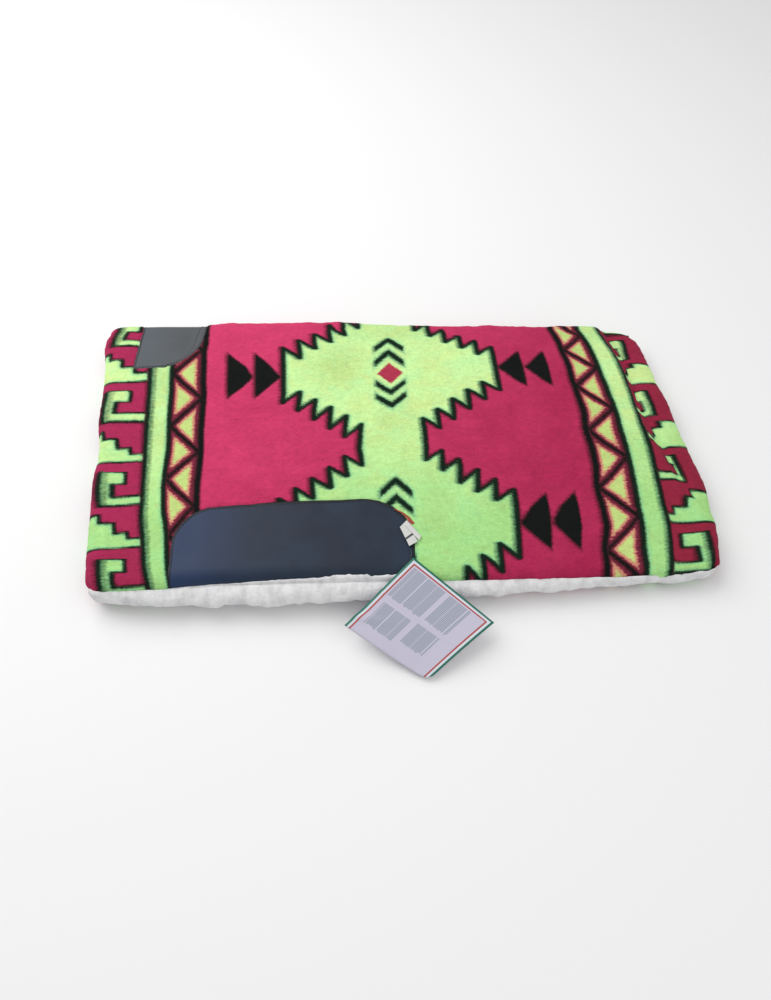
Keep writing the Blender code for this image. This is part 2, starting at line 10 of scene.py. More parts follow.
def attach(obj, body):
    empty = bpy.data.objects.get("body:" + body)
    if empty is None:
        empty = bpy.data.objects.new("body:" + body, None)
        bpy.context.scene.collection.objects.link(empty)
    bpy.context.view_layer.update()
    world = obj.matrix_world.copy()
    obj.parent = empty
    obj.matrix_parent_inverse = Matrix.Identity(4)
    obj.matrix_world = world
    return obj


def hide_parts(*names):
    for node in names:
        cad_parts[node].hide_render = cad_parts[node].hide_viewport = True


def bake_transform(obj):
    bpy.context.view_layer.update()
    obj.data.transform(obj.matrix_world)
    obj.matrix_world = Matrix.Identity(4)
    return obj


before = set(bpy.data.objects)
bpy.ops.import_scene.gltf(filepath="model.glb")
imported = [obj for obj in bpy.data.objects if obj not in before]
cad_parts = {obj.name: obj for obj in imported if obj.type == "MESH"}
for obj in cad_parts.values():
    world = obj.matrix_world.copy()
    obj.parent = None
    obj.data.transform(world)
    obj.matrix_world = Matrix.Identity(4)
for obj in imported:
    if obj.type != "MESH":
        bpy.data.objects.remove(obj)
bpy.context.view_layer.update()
scene = bpy.context.scene
print("frame loaded")


# camera: 58 degrees down on the pad, a little from the withers side
cameraView = {"place": (-0.0550, -0.58165, 0.8442), "down": 58.3, "turn": 4.5, "roll": -2.6,
              "lens": 27.36, "sensor": 36.0, "clip": (0.05, 20)}


# where an object stands, from its three axes as columns and its place
def standing(axes, place):
    return Matrix([[*axes[i], place[i]] for i in range(3)] + [[0, 0, 0, 1]])


# the camera's axes: its way forward from the two angles, then turned about that by the roll
def makeCamera(view):
    down, turn, roll = (math.radians(view[k]) for k in ("down", "turn", "roll"))
    forward = np.array([math.sin(turn) * math.cos(down), math.cos(turn) * math.cos(down),
                        -math.sin(down)])
    level = np.array([math.cos(turn), -math.sin(turn), 0.0])
    below = np.cross(forward, level)
    right = math.cos(roll) * level + math.sin(roll) * below
    lower = -math.sin(roll) * level + math.cos(roll) * below
    camera = bpy.data.objects.new("camera", bpy.data.cameras.new("camera"))
    camera.matrix_world = standing(np.column_stack([right, -lower, -forward]), view["place"])
    camera.data.lens = view["lens"]
    camera.data.sensor_width = view["sensor"]
    camera.data.clip_start, camera.data.clip_end = view["clip"]
    scene.collection.objects.link(camera)
    scene.camera = camera


makeCamera(cameraView)


# materials

# display hex to a linear colour: the piecewise sRGB curve, channel by channel
def srgb(hexText):
    parts = [int(hexText[i:i + 2], 16) / 255 for i in (1, 3, 5)]
    return (*[c / 12.92 if c <= 0.04045 else ((c + 0.055) / 1.055) ** 2.4 for c in parts], 1)


# one node of a material: its kind, its inputs set to a value or linked to a socket, which of its
# outputs is handed back, and its settings
def addNode(material, kind, inputs, output=0, **settings):
    node = material.node_tree.nodes.new("ShaderNode" + kind)
    for name, value in settings.items():
        setattr(node, name, value)
    for name, value in inputs.items():
        if isinstance(value, bpy.types.NodeSocket):
            material.node_tree.links.new(value, node.inputs[name])
        else:
            node.inputs[name].default_value = value
    return node.outputs[output]


# an empty Principled material with its constant sockets set, and what it needs to be filled
def newMaterial(name, finish):
    material = bpy.data.materials.new(name)
    material.use_nodes = True
    shader = material.node_tree.nodes["Principled BSDF"]
    for socket, value in finish.items():
        shader.inputs[socket].default_value = value
    return material, partial(addNode, material)


# the named sockets of the material's shader are linked to what was made for them
def finishMaterial(material, **sockets):
    shader = material.node_tree.nodes["Principled BSDF"]
    for name, value in sockets.items():
        material.node_tree.links.new(value, shader.inputs[name.replace("_", " ")])
    return material


rgba = {"data_type": "RGBA"}
# each pink and the green come as a lit colour and a darker painted-shade colour, mixed by the cover's
# painted-shade attribute; the dull olive green is a painted shade on the fold and where the pile is ruffled
plushLook = {"pinkLit": "#CF3F6A", "pinkShaded": "#A92850", "borderLit": "#A92E57", "borderShaded": "#93283F",
             "greenLit": "#CFF8A6", "greenYellow": "#D4F09C", "greenDeep": "#ABE08B", "mint": "#7CCB98",
             "straw": "#C3BE80", "olive": "#A8C878", "black": "#151716", "blackGreen": "#13271B",
             "triangle": "#C3D983", "salmon": "#CF8C74", "haloRed": "#8F3148", "rhombus": "#B03A50",
             "fray": 2.0, "soft": 1.5, "fringe": 0.68, "lean": 1.5, "feather": 2.2}


# acrylic plush, cut pile about 5 mm deep on a woven back: matt, edges of the colours soft, and
# black tufts that lean to the front, so that each dark shape has a thin fringe on that side
def plushCover():
    material, node = newMaterial("acrylicPlushCutPile", {
        "Roughness": 0.96, "Specular IOR Level": 0.06, "Sheen Weight": 0.05, "Sheen Roughness": 0.4})
    look = plushLook
    cloth = node("UVMap", {}, uv_map="cloth")
    # noises by size of their features on the cloth, in metres along u and v
    sizes = {"streak": (0.0065, 0.0026, 2), "fray": (0.0034, 0.0026, 2), "patch": (0.045, 0.033, 3),
             "mottle": (0.0085, 0.0060, 3), "tufts": (0.0033, 0.0026, 2), "stray": (0.0140, 0.0100, 3),
             "cloud": (0.038, 0.024, 3)}
    noises = {}
    for name, (wide, tall, detail) in sizes.items():
        spread = node("Mapping", {"Vector": cloth, "Scale": (1 / wide, 1 / tall, 1.0)})
        noises[name] = node("TexNoise", {"Vector": spread, "Scale": 1.0, "Detail": detail, "Roughness": 0.6})
    parts = {}
    for name in ("pattern", "zone", "paintedShade"):
        parts[name] = node("Attribute", {}, 1, attribute_name=name)
        parts[name] = [node("SeparateXYZ", {0: parts[name]}, k) for k in range(3)]
    fray = look["fray"] / 2
    jitter = node("MapRange", {0: noises["fray"], 1: 0.25, 2: 0.75, 3: -fray, 4: fray})
    dark, light, rhombus = (node("Math", {0: k, 1: jitter}, operation="ADD")
                            for k in (parts["pattern"][0], parts["pattern"][1], parts["zone"][2]))
    streak = node("MapRange", {0: noises["streak"], 1: 0.30, 2: 0.70, 3: -look["lean"], 4: look["lean"]})
    swept = node("Math", {0: parts["pattern"][2], 1: streak}, operation="ADD")
    nearest = node("Math", {0: dark, 1: swept}, operation="MINIMUM")
    soft, (band, border), (pinkShadeShare, greenShadeShare, foldShadeAndRuffle) = look["soft"], parts["zone"][:2], parts["paintedShade"]
    # every layer: where it shows, from 1 to 0 over a span of its field, how much, and its colour
    # painted shade: the pink and the border's pink go from the lit colour to the shaded one toward the rear
    # and the hem
    pink = node("Mix", {0: pinkShadeShare, 6: srgb(look["pinkLit"]), 7: srgb(look["pinkShaded"])}, 2, **rgba)
    outer = node("Mix", {0: pinkShadeShare, 6: srgb(look["borderLit"]), 7: srgb(look["borderShaded"])}, 2, **rgba)
    pink = node("Mix", {0: border, 6: pink, 7: outer}, 2, **rgba)
    green = srgb(look["greenLit"])
    # painted shade: the green goes darker toward the hem and the rear, and duller on the fold and where the
    # pile is ruffled; the other layers are random tone and the colour near the black
    for field, low, high, most, hue in ((noises["patch"], 0.60, 0.42, 1.0, "greenYellow"),
                                        (greenShadeShare, 1.0, 0.0, 1.0, "greenDeep"),
                                        (foldShadeAndRuffle, 1.0, 0.0, 1.0, "olive"),
                                        (noises["stray"], 0.30, 0.40, 0.20, "straw"),
                                        (noises["cloud"], 0.62, 0.46, 0.20, "mint"),
                                        (dark, 0.5, 5.5, 0.60, "mint")):
        share = node("MapRange", {0: field, 1: low, 2: high, 3: most, 4: 0.0})
        green = node("Mix", {0: share, 6: green, 7: srgb(look[hue])}, 2, **rgba)
    halo = srgb(look["triangle"])
    for low, high, hue in ((4.0, 6.0, "salmon"), (1.4, 2.9, "haloRed")):
        share = node("MapRange", {0: nearest, 1: low, 2: high, 3: 1.0, 4: 0.0})
        halo = node("Mix", {0: share, 6: halo, 7: srgb(look[hue])}, 2, **rgba)
    share = node("MapRange", {0: light, 1: 0.5, 2: 2.5, 3: 1.0, 4: 0.0})
    black = node("Mix", {0: share, 6: srgb(look["black"]), 7: srgb(look["blackGreen"])}, 2, **rgba)
    feather = look["feather"]
    colour = pink
    for field, low, high, most, hue in ((light, -soft, soft, 1.0, green), (band, 1.0, 0.0, 1.0, halo),
                                        (rhombus, -soft, soft, 1.0, srgb(look["rhombus"])),
                                        (swept, -feather, feather, look["fringe"], black),
                                        (dark, -soft, soft, 1.0, black)):
        share = node("MapRange", {0: field, 1: low, 2: high, 3: most, 4: 0.0})
        colour = node("Mix", {0: share, 6: colour, 7: hue}, 2, **rgba)
    shade = 1.0
    for name, dim, bright in (("tufts", 0.91, 1.08), ("mottle", 0.90, 1.09), ("cloud", 0.92, 1.07)):
        grain = node("MapRange", {0: noises[name], 1: 0.28, 2: 0.72, 3: dim, 4: bright})
        shade = node("Math", {0: shade, 1: grain}, operation="MULTIPLY")
    colour = node("VectorMath", {0: colour, "Scale": shade}, operation="SCALE")
    height = node("Math", {0: noises["tufts"], 1: noises["mottle"]}, operation="ADD")
    bump = node("Bump", {"Height": height, "Strength": 0.5, "Distance": 0.0018})
    return finishMaterial(material, Base_Color=colour, Normal=bump)


fleeceLook = {"white": "#E4E4E5", "shade": "#CFCED0", "curl": 0.0035, "clump": 0.010}


# acrylic sheepskin-type fleece, knitted and brushed into curls: dull off-white, soft shadows
# between the curls and no gloss
def fleeceLining():
    material, node = newMaterial("acrylicFleeceKnitted", {
        "Roughness": 0.97, "Specular IOR Level": 0.08, "Sheen Weight": 0.1, "Sheen Roughness": 0.5})
    look = fleeceLook
    place = node("TexCoord", {}, 3)
    flat = node("Mapping", {"Vector": place, "Scale": (1.0, 0.55, 0.55)})
    curls = node("TexNoise", {"Vector": place, "Scale": 1 / look["curl"], "Detail": 2.0})
    clumps = node("TexNoise", {"Vector": flat, "Scale": 1 / look["clump"], "Detail": 3.0, "Roughness": 0.6})
    share = node("MapRange", {0: clumps, 1: 0.30, 2: 0.58, 3: 1.0, 4: 0.0})
    colour = node("Mix", {0: share, 6: srgb(look["white"]), 7: srgb(look["shade"])}, 2, **rgba)
    height = node("Math", {0: curls, 1: clumps}, operation="ADD")
    bump = node("Bump", {"Height": height, "Strength": 0.5, "Distance": 0.0022})
    return finishMaterial(material, Base_Color=colour, Normal=bump)


leatherLook = {"grain": 0.0011, "cloud": 0.05, "crease": 0.0024}


# top-grain cowhide, dyed through and finished with a thin satin coat: a fine pebble grain that
# only shows where light grazes it, a cloudy wear of the coat, and one end lighter in colour
def wearLeather(name, face, worn, lighterEnd, rim, span, rough):
    material, node = newMaterial(name, {"Specular IOR Level": 0.32})
    look = leatherLook
    place = node("TexCoord", {}, 3)
    pebbles = node("TexVoronoi", {"Vector": place, "Scale": 1 / look["grain"]}, feature="DISTANCE_TO_EDGE")
    pebbles = node("MapRange", {0: pebbles, 1: 0.16, 2: 0.0, 3: 1.0, 4: 0.0})
    cloud = node("TexNoise", {"Vector": place, "Scale": 1 / look["cloud"], "Detail": 3.0})
    creases = node("TexNoise", {"Vector": place, "Scale": 1 / look["crease"], "Detail": 3.0})
    share = node("MapRange", {0: cloud, 1: 0.40, 2: 0.62, 3: 1.0, 4: 0.0})
    colour = node("Mix", {0: share, 6: srgb(worn), 7: srgb(face)}, 2, **rgba)
    # one end lighter in colour: a blend along x over the given span
    along = node("SeparateXYZ", {0: place})
    share = node("MapRange", {0: along, 1: span[0], 2: span[1], 3: 1.0, 4: 0.0},
                 interpolation_type="SMOOTHSTEP")
    colour = node("Mix", {0: share, 6: colour, 7: srgb(lighterEnd)}, 2, **rgba)
    # the rim outside the stitches is pressed and stays darker; the attribute is its depth in mm
    inward = node("SeparateXYZ", {0: node("Attribute", {}, 1, attribute_name="edge")})
    share = node("MapRange", {0: inward, 1: 3.2, 2: 4.6, 3: 1.0, 4: 0.0})
    colour = node("Mix", {0: share, 6: colour, 7: srgb(rim)}, 2, **rgba)
    height = node("Math", {0: pebbles, 1: creases}, operation="ADD")
    bump = node("Bump", {"Height": height, "Strength": 0.22, "Distance": 0.0003})
    gloss = node("MapRange", {0: cloud, 3: rough - 0.08, 4: rough + 0.10})
    return finishMaterial(material, Base_Color=colour, Roughness=gloss, Normal=bump)


# thread plied from several yarns: a fine twist across it and a soft shine
def twistedThread(name, face, shade, pitch):
    material, node = newMaterial(name, {"Roughness": 0.62, "Specular IOR Level": 0.3})
    place = node("TexCoord", {}, 3)
    ply = node("TexWave", {"Vector": place, "Scale": 1 / pitch / 6.3, "Distortion": 1.0}, 1,
               bands_direction="DIAGONAL")
    colour = node("Mix", {0: ply, 6: srgb(shade), 7: srgb(face)}, 2, **rgba)
    bump = node("Bump", {"Height": ply, "Strength": 0.4, "Distance": 0.0002})
    return finishMaterial(material, Base_Color=colour, Normal=bump)


# woven polyester satin ribbon: smooth floats give a mild shine, with one dark woven line
def satinLabel():
    material, node = newMaterial("polyesterSatinWoven", {"Roughness": 0.42, "Sheen Weight": 0.1})
    flat = node("UVMap", {}, uv_map="label")
    floats = node("TexWave", {"Vector": flat, "Scale": 9.0}, 1, bands_direction="Y")
    line = node("Math", {0: node("SeparateXYZ", {0: flat}), 1: 0.62}, operation="SUBTRACT")
    line = node("Math", {0: line}, operation="ABSOLUTE")
    share = node("MapRange", {0: line, 1: 0.040, 2: 0.055, 3: 1.0, 4: 0.0})
    colour = node("Mix", {0: floats, 6: srgb("#C3C3BF"), 7: srgb("#D5D5D2")}, 2, **rgba)
    colour = node("Mix", {0: share, 6: colour, 7: srgb("#33373A")}, 2, **rgba)
    bump = node("Bump", {"Height": floats, "Strength": 0.15, "Distance": 0.0002})
    return finishMaterial(material, Base_Color=colour, Normal=bump)


# grosgrain ribbon, plain woven with a raised weft
def redRibbon():
    material, node = newMaterial("grosgrainRibbonWoven", {"Roughness": 0.75, "Sheen Weight": 0.1})
    rib = node("TexWave", {"Vector": node("TexCoord", {}, 3), "Scale": 140.0}, 1, bands_direction="DIAGONAL")
    colour = node("Mix", {0: rib, 6: srgb("#8E3427"), 7: srgb("#AE4A34")}, 2, **rgba)
    return finishMaterial(material, Base_Color=colour)


# columns of the leaflet's rules as (a from, a to, b from, b to), and its printed border as (inner
# edge of a line as a share of the side, its colour), from the widest to the outermost
leafletLook = {"paper": "#C6C2D4", "rule": "#727A88", "tint": "#9DA9B8", "side": 0.115, "pitch": 0.0019,
               "paragraph": 0.062,
               "columns": [(0.08, 0.47, 0.08, 0.50), (0.52, 0.78, 0.08, 0.49), (0.11, 0.44, 0.56, 0.88),
                           (0.49, 0.77, 0.54, 0.83)],
               "border": [(0.062, "#B04A42"), (0.045, "#D5DCE6"), (0.021, "#24705C")]}


# coated offset paper, about 130 g: smooth and pale, with printed border lines on three sides and
# four columns of plain grey rules, ragged at one end
def leafletPaper():
    material, node = newMaterial("offsetPaperCoated", {"Roughness": 0.38, "Specular IOR Level": 0.35})
    look = leafletLook
    flat = node("UVMap", {}, uv_map="leaf")
    a, b = node("SeparateXYZ", {0: flat}), node("SeparateXYZ", {0: flat}, 1)
    fromEdge = node("Math", {0: 1.0, 1: a}, operation="SUBTRACT")
    for other in (a, b):
        fromEdge = node("Math", {0: fromEdge, 1: other}, operation="MINIMUM")
    rows = node("Math", {0: a, 1: look["pitch"] / look["side"] / 2}, operation="PINGPONG")
    printed = node("MapRange", {0: rows, 1: 0.0030, 2: 0.0050, 3: 1.0, 4: 0.0})
    breaks = node("Math", {0: a, 1: look["paragraph"]}, operation="PINGPONG")
    breaks = node("Math", {0: breaks, 1: 0.005}, operation="GREATER_THAN")
    ragged = node("Mapping", {"Vector": flat, "Scale": (60.0, 3.0, 1.0)})
    ragged = node("TexNoise", {"Vector": ragged, "Scale": 1.0, "Detail": 1.0})
    column = 0.0
    for a0, a1, b0, b1 in look["columns"]:
        end = node("MapRange", {0: ragged, 3: b1 - 0.05, 4: b1 + 0.01})
        inside = 1.0
        for kind, where, limit in (("GREATER_THAN", a, a0), ("LESS_THAN", a, a1), ("GREATER_THAN", b, b0),
                                   ("LESS_THAN", b, end)):
            inside = node("Math", {0: inside, 1: node("Math", {0: where, 1: limit}, operation=kind)},
                          operation="MULTIPLY")
        column = node("Math", {0: column, 1: inside}, operation="MAXIMUM")
    for factor in (breaks, column, 0.60):
        printed = node("Math", {0: printed, 1: factor}, operation="MULTIPLY")
    tint = node("Math", {0: column, 1: breaks}, operation="MULTIPLY")
    tint = node("Math", {0: tint, 1: 0.46}, operation="MULTIPLY")
    colour = srgb(look["paper"])
    layers = [(tint, look["tint"]), (printed, look["rule"])]
    layers += [(node("MapRange", {0: fromEdge, 1: edge, 2: edge + 0.003, 3: 1.0, 4: 0.0}), hue)
               for edge, hue in look["border"]]
    for share, hue in layers:
        colour = node("Mix", {0: share, 6: colour, 7: srgb(hue)}, 2, **rgba)
    return finishMaterial(material, Base_Color=colour)


looks = {"cover": plushCover(), "fleece": fleeceLining(),
         "sideLeather": wearLeather("cowhideTopGrainDyed", "#111F31", "#18293D", "#1C3052", "#0B1019",
                                    (-0.26, -0.16), 0.46),
         "witherLeather": wearLeather("cowhideTopGrainFaded", "#4A4D50", "#525558", "#50565C", "#3C3F43",
                                      (-0.34, -0.28), 0.55),
         "stitch": twistedThread("polyesterThreadBonded", "#2A2D33", "#121316", 0.0007),
         "string": twistedThread("cottonStringTwisted", "#5A6068", "#34383E", 0.0008),
         "seam": twistedThread("overlockYarnTextured", "#B9B5AE", "#98938B", 0.0010),
         "satin": satinLabel(), "ribbon": redRibbon(), "paper": leafletPaper()}
print("materials made")


# mesh helpers

def smooth(t):
    t = np.clip(t, 0, 1)
    return t * t * (3 - 2 * t)


# a table of (position, value), read at any positions
def tableAt(table, where):
    table = sorted(table)
    return np.interp(where, [a for a, _ in table], [b for _, b in table])


# straight between four values: f goes from the first to the second and from the third to the
# fourth, g from the first pair to the second
def blendFour(p, q, r, s, f, g):
    return (p * (1 - f) + q * f) * (1 - g) + (r * (1 - f) + s * f) * g


# how far a point at the shares p and q of a square corner, each from 0 to 1, is drawn in along both
# sides for the corner to become a quarter circle
def drawnCorner(p, q):
    return p - p * np.sqrt(1 - q * q / 2), q - q * np.sqrt(1 - p * p / 2)


# length along a line of points, from its first point to each
def runLength(line):
    return np.concatenate([[0], np.cumsum(np.linalg.norm(np.diff(line, axis=0), axis=1))])


# seeded value noise from -1 to 1: random values on a square net of the given size, blended
# smoothly between the four corners of each cell
def softNoise(a, b, size, seed):
    net = np.random.default_rng(seed).random((97, 89)) * 2 - 1
    p, q = np.asarray(a) / size, np.asarray(b) / size
    i, j = np.floor(p).astype(int), np.floor(q).astype(int)
    f, g = smooth(p - i), smooth(q - j)
    at = lambda di, dj: net[(i + di) % 97, (j + dj) % 89]
    return blendFour(at(0, 0), at(1, 0), at(0, 1), at(1, 1), f, g)


# the same noise along one line
def lineNoise(a, size, seed):
    return softNoise(a, a * 0, size, seed)


# 1 with noises along a line added to it, each given as (height, width); their seeds count up
def unevenLine(a, noises, seed):
    return sum((high * lineNoise(a, wide, seed + k) for k, (high, wide) in enumerate(noises)), 1)


# quads of a grid whose vertices run row by row
def gridFaces(rows, columns, start=0):
    index = start + np.arange(rows * columns).reshape(rows, columns)
    return np.stack([index[:-1, :-1], index[1:, :-1], index[1:, 1:], index[:-1, 1:]], -1).reshape(-1, 4)


# a smooth-shaded piece from arrays of vertices and of faces, its normals turned outwards
def makePiece(name, points, faceSets, look):
    mesh = bpy.data.meshes.new(name)
    mesh.vertices.add(len(points))
    mesh.vertices.foreach_set("co", np.asarray(points, np.float32).ravel())
    corners = np.concatenate([faces.ravel() for faces in faceSets])
    sizes = np.concatenate([np.full(len(faces), faces.shape[1]) for faces in faceSets])
    mesh.loops.add(len(corners))
    mesh.loops.foreach_set("vertex_index", corners.astype(np.int32))
    mesh.polygons.add(len(sizes))
    mesh.polygons.foreach_set("loop_start", np.concatenate([[0], np.cumsum(sizes)[:-1]]).astype(np.int32))
    mesh.update(calc_edges=True)
    shell = bmesh.new()
    shell.from_mesh(mesh)
    bmesh.ops.recalc_face_normals(shell, faces=shell.faces[:])
    shell.to_mesh(mesh)
    shell.free()
    mesh.polygons.foreach_set("use_smooth", np.ones(len(mesh.polygons), bool))
    mesh.materials.append(looks[look])
    piece = bpy.data.objects.new(name, mesh)
    scene.collection.objects.link(piece)
    return piece


# a UV map from one pair per vertex
def setUv(piece, name, perVertex):
    mesh = piece.data
    corner = np.zeros(len(mesh.loops), np.int32)
    mesh.loops.foreach_get("vertex_index", corner)
    layer = mesh.uv_layers.new(name=name)
    layer.data.foreach_set("uv", np.asarray(perVertex, np.float32)[corner].ravel())


# an attribute from one vector per vertex
def setVectors(piece, name, values):
    layer = piece.data.attributes.new(name, "FLOAT_VECTOR", "POINT")
    layer.data.foreach_set("vector", np.asarray(values, np.float32).ravel())


# two grids joined all round their edge. Ring k of the rim lies between the two edges, pushed
# outward in plan by bulge times the sine of its share of the way, so the edge is half round.
# Gives vertices, faces, and for each rim vertex its edge vertex, its share and its way out
def closedShell(outer, inner, bulge, rings):
    rows, columns = outer.shape[:2]
    index = np.arange(rows * columns).reshape(rows, columns)
    loop = np.concatenate([index[0, :], index[1:, -1], index[-1, -2::-1], index[-2:0:-1, 0]])
    edge, back = outer.reshape(-1, 3)[loop], inner.reshape(-1, 3)[loop]
    along = np.roll(edge, -1, 0) - np.roll(edge, 1, 0)
    out = np.stack([-along[:, 1], along[:, 0], 0 * along[:, 0]], 1)
    out /= np.maximum(np.linalg.norm(out, axis=1), 1e-9)[:, None]
    if np.sum((edge - edge.mean(0)) * out) < 0:
        out = -out
    share = np.arange(1, rings + 1) / (rings + 1)
    reach = bulge.reshape(-1)[loop]
    rim = (edge[None] * (1 - share)[:, None, None] + back[None] * share[:, None, None]
           + out[None] * reach[None, :, None] * np.sin(math.pi * share)[:, None, None])
    count, size = len(loop), rows * columns
    levels = np.concatenate([loop[None], 2 * size + np.arange(rings * count).reshape(rings, count),
                             (size + loop)[None]])
    nextTo = np.roll(levels, -1, 1)
    rimFaces = np.stack([levels[:-1], levels[1:], nextTo[1:], nextTo[:-1]], -1).reshape(-1, 4)
    points = np.concatenate([outer.reshape(-1, 3), inner.reshape(-1, 3), rim.reshape(-1, 3)])
    faces = np.concatenate([gridFaces(rows, columns), gridFaces(rows, columns, size)[:, ::-1], rimFaces])
    return points, faces, np.tile(loop, rings), np.repeat(share, count), np.tile(out, (rings, 1))


# a grid of points moved along its own normals, the cross product of its two directions, on
# the side that faces up for sign 1 and down for -1
def raised(points, heights, sign):
    normal = np.cross(np.gradient(points, axis=0), np.gradient(points, axis=1))
    normal /= np.maximum(np.linalg.norm(normal, axis=2), 1e-12)[..., None]
    if normal[-20:, :, 2].mean() * sign < 0:
        normal = -normal
    return points + normal * heights[..., None]


# closed tubes along many paths at once: a ring of points square to each path point, with the
# radius given for each, and a fan of triangles to one pole at either end
def tubes(paths, radii, sides):
    paths, radii = np.asarray(paths, float), np.asarray(radii, float)
    count, length = paths.shape[:2]
    along = np.gradient(paths, axis=1)
    along /= np.linalg.norm(along, axis=2)[..., None]
    across = np.cross(along, np.array([0.02, 0.03, 1.0]))
    across /= np.linalg.norm(across, axis=2)[..., None]
    square = np.cross(across, along)
    turn = np.arange(sides) * 2 * math.pi / sides
    ring = (paths[:, :, None] + radii[..., None, None] * (np.cos(turn)[:, None] * across[:, :, None]
                                                          + np.sin(turn)[:, None] * square[:, :, None]))
    index = np.arange(count * length * sides).reshape(count, length, sides)
    turned = np.roll(index, -1, 2)
    quads = np.stack([index[:, :-1], index[:, 1:], turned[:, 1:], turned[:, :-1]], -1).reshape(-1, 4)
    poles = count * length * sides + np.arange(count * 2).reshape(count, 2)
    ends = [np.stack([index[:, k], turned[:, k], np.repeat(poles[:, j:j + 1], sides, 1)], -1).reshape(-1, 3)
            for j, k in ((0, 0), (1, -1))]
    points = np.concatenate([ring.reshape(-1, 3), paths[:, [0, -1]].reshape(-1, 3)])
    return points, [quads, np.concatenate(ends)]


# hang tag: thread and folded leaflet. The thread's points are the part's own route, in metres.

tag = {"exit": (0.0090, -0.1580, 0.0446), "level": 0.0439, "tied": (0.1, 0.1), "radius": 0.0004,
       "step": 0.0016, "paper": 0.0003, "apart": 0.0010, "corner": 0.100,
       "strung": (0.0133, -0.1728, 0.0505), "rear": (0.1035, -0.2473, 0.0262),
       "low": (0.0245, -0.3062, 0.0030), "front": (-0.0690, -0.2477, 0.0262)}


# a point of a leaf: straight between its four corners, with the slow wave of bent paper and
# two lifted corners; a runs along its upper right edge, b toward its fold
def leafPoint(a, b, drop):
    a, b = np.asarray(a, float)[..., None], np.asarray(b, float)[..., None]
    flat = blendFour(*(np.array(tag[k]) for k in ("strung", "rear", "front", "low")), a, b)
    wave = (0.0035 * np.sin(math.pi * b) * (0.4 + 0.6 * a)
            + 0.006 * np.maximum(0, b - 0.72) / 0.28 * np.maximum(0, 0.55 - a) / 0.55
            + 0.0022 * np.maximum(0, a - 0.8) / 0.2 * b - drop)
    return flat + wave * np.array([0, 0, 1.0])


# Catmull-Rom curve through five points, from the leather's edge to the leaflet's hole,
# then set out evenly
def threadRoute():
    ex, ey, _ = tag["exit"]
    tied = leafPoint(*tag["tied"], tag["apart"])
    tied[2] -= tag["paper"] / 2 + 0.0003 + 1.2 * tag["radius"]
    knots = [np.array(p) for p in (tag["exit"], (ex + 0.0026, ey - 0.0065, tag["level"] + 0.0022),
                                   (ex + 0.0010, ey - 0.0150, tag["level"] + 0.0012),
                                   tied + np.array([-0.0020, 0.0060, 0.0004]), tied)]
    ends = [2 * knots[0] - knots[1]] + knots + [2 * knots[-1] - knots[-2]]
    t = np.linspace(0, 1, 12, endpoint=False)[:, None]
    fine = [0.5 * (2 * p1 + (p2 - p0) * t + (2 * p0 - 5 * p1 + 4 * p2 - p3) * t ** 2
                   + (3 * p1 - p0 - 3 * p2 + p3) * t ** 3)
            for p0, p1, p2, p3 in zip(ends, ends[1:], ends[2:], ends[3:])]
    fine = np.concatenate(fine + [knots[-1][None]])
    run = runLength(fine)
    even = np.linspace(0, run[-1], int(round(run[-1] / tag["step"])) + 1)
    return np.stack([np.interp(even, run, fine[:, k]) for k in range(3)], 1), run[-1]


# one leaf: a fine sheet over the corners, its lower corner cut round, with printed uv
def makeLeaf(name, drop, node):
    a, b = np.meshgrid(np.linspace(0, 1, 49), np.linspace(0, 1, 49))
    # the corner at the low end is drawn onto a circle
    r = tag["corner"]
    p, q = np.clip(1 - (1 - a) / r, 0, 1), np.clip(1 - (1 - b) / r, 0, 1)
    drawnA, drawnB = drawnCorner(p, q)
    ra, rb = a - r * drawnA, b - r * drawnB
    crease = 0.0008 * np.exp(-((rb - 0.5) / 0.012) ** 2)
    kink = 0.0022 * np.exp(-((rb - 0.86 + 0.5 * ra) / 0.05) ** 2) * smooth((0.45 - ra) / 0.45)
    top = leafPoint(ra, rb, drop) + (crease + kink)[..., None] * np.array([0, 0, 1.0])
    bottom = top - np.array([0, 0, tag["paper"]])
    points, faces, *_ = closedShell(top, bottom, np.zeros(a.shape), 1)
    leaf = makePiece(name, points, [faces], "paper")
    flat = np.stack([ra, rb], -1).reshape(-1, 2)
    unprinted = np.full((len(points) - len(flat), 2), 0.5)
    setUv(leaf, "leaf", np.concatenate([flat, unprinted]))
    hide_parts(node)
    return leaf


# the front leaf's paper bends beside the fold; it stays where it is made, its place baked into its mesh
frontLeaf = makeLeaf("leafletFrontLeaf", 0.0, "leaflet_front_leaf")
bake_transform(frontLeaf)
backLeaf = makeLeaf("leafletBackLeaf", tag["apart"], "leaflet_back_leaf")
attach(backLeaf, "tag")
route, threadLength = threadRoute()
string = bpy.data.curves.new("tagThread", "CURVE")
string.dimensions = "3D"
string.bevel_depth = tag["radius"]
string.bevel_resolution = 2
string.use_fill_caps = True
spline = string.splines.new("POLY")
spline.points.add(len(route) - 1)
spline.points.foreach_set("co", np.hstack([route, np.ones((len(route), 1))]).ravel())
string.materials.append(looks["string"])
tagThread = bpy.data.objects.new("tagThread", string)
scene.collection.objects.link(tagThread)
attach(tagThread, "tag")
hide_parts("tag_thread")
print("hang tag made, thread %.1f mm" % (1000 * threadLength))


# the pad's shape

pad = {"half": 0.0236, "cover": 0.0040, "hingeY": 0.1984, "hemY": -0.1952, "roll": 0.020, "rim": 0.45,
       "corners": (0.015, 0.007), "strip": 0.0118, "bend": 0.0185, "crown": 0.0016, "frontLift": 0.0010,
       "rearDrop": 0.0045}
turned = pad["strip"] + pad["bend"]            # length of cloth from the strip's middle to the top
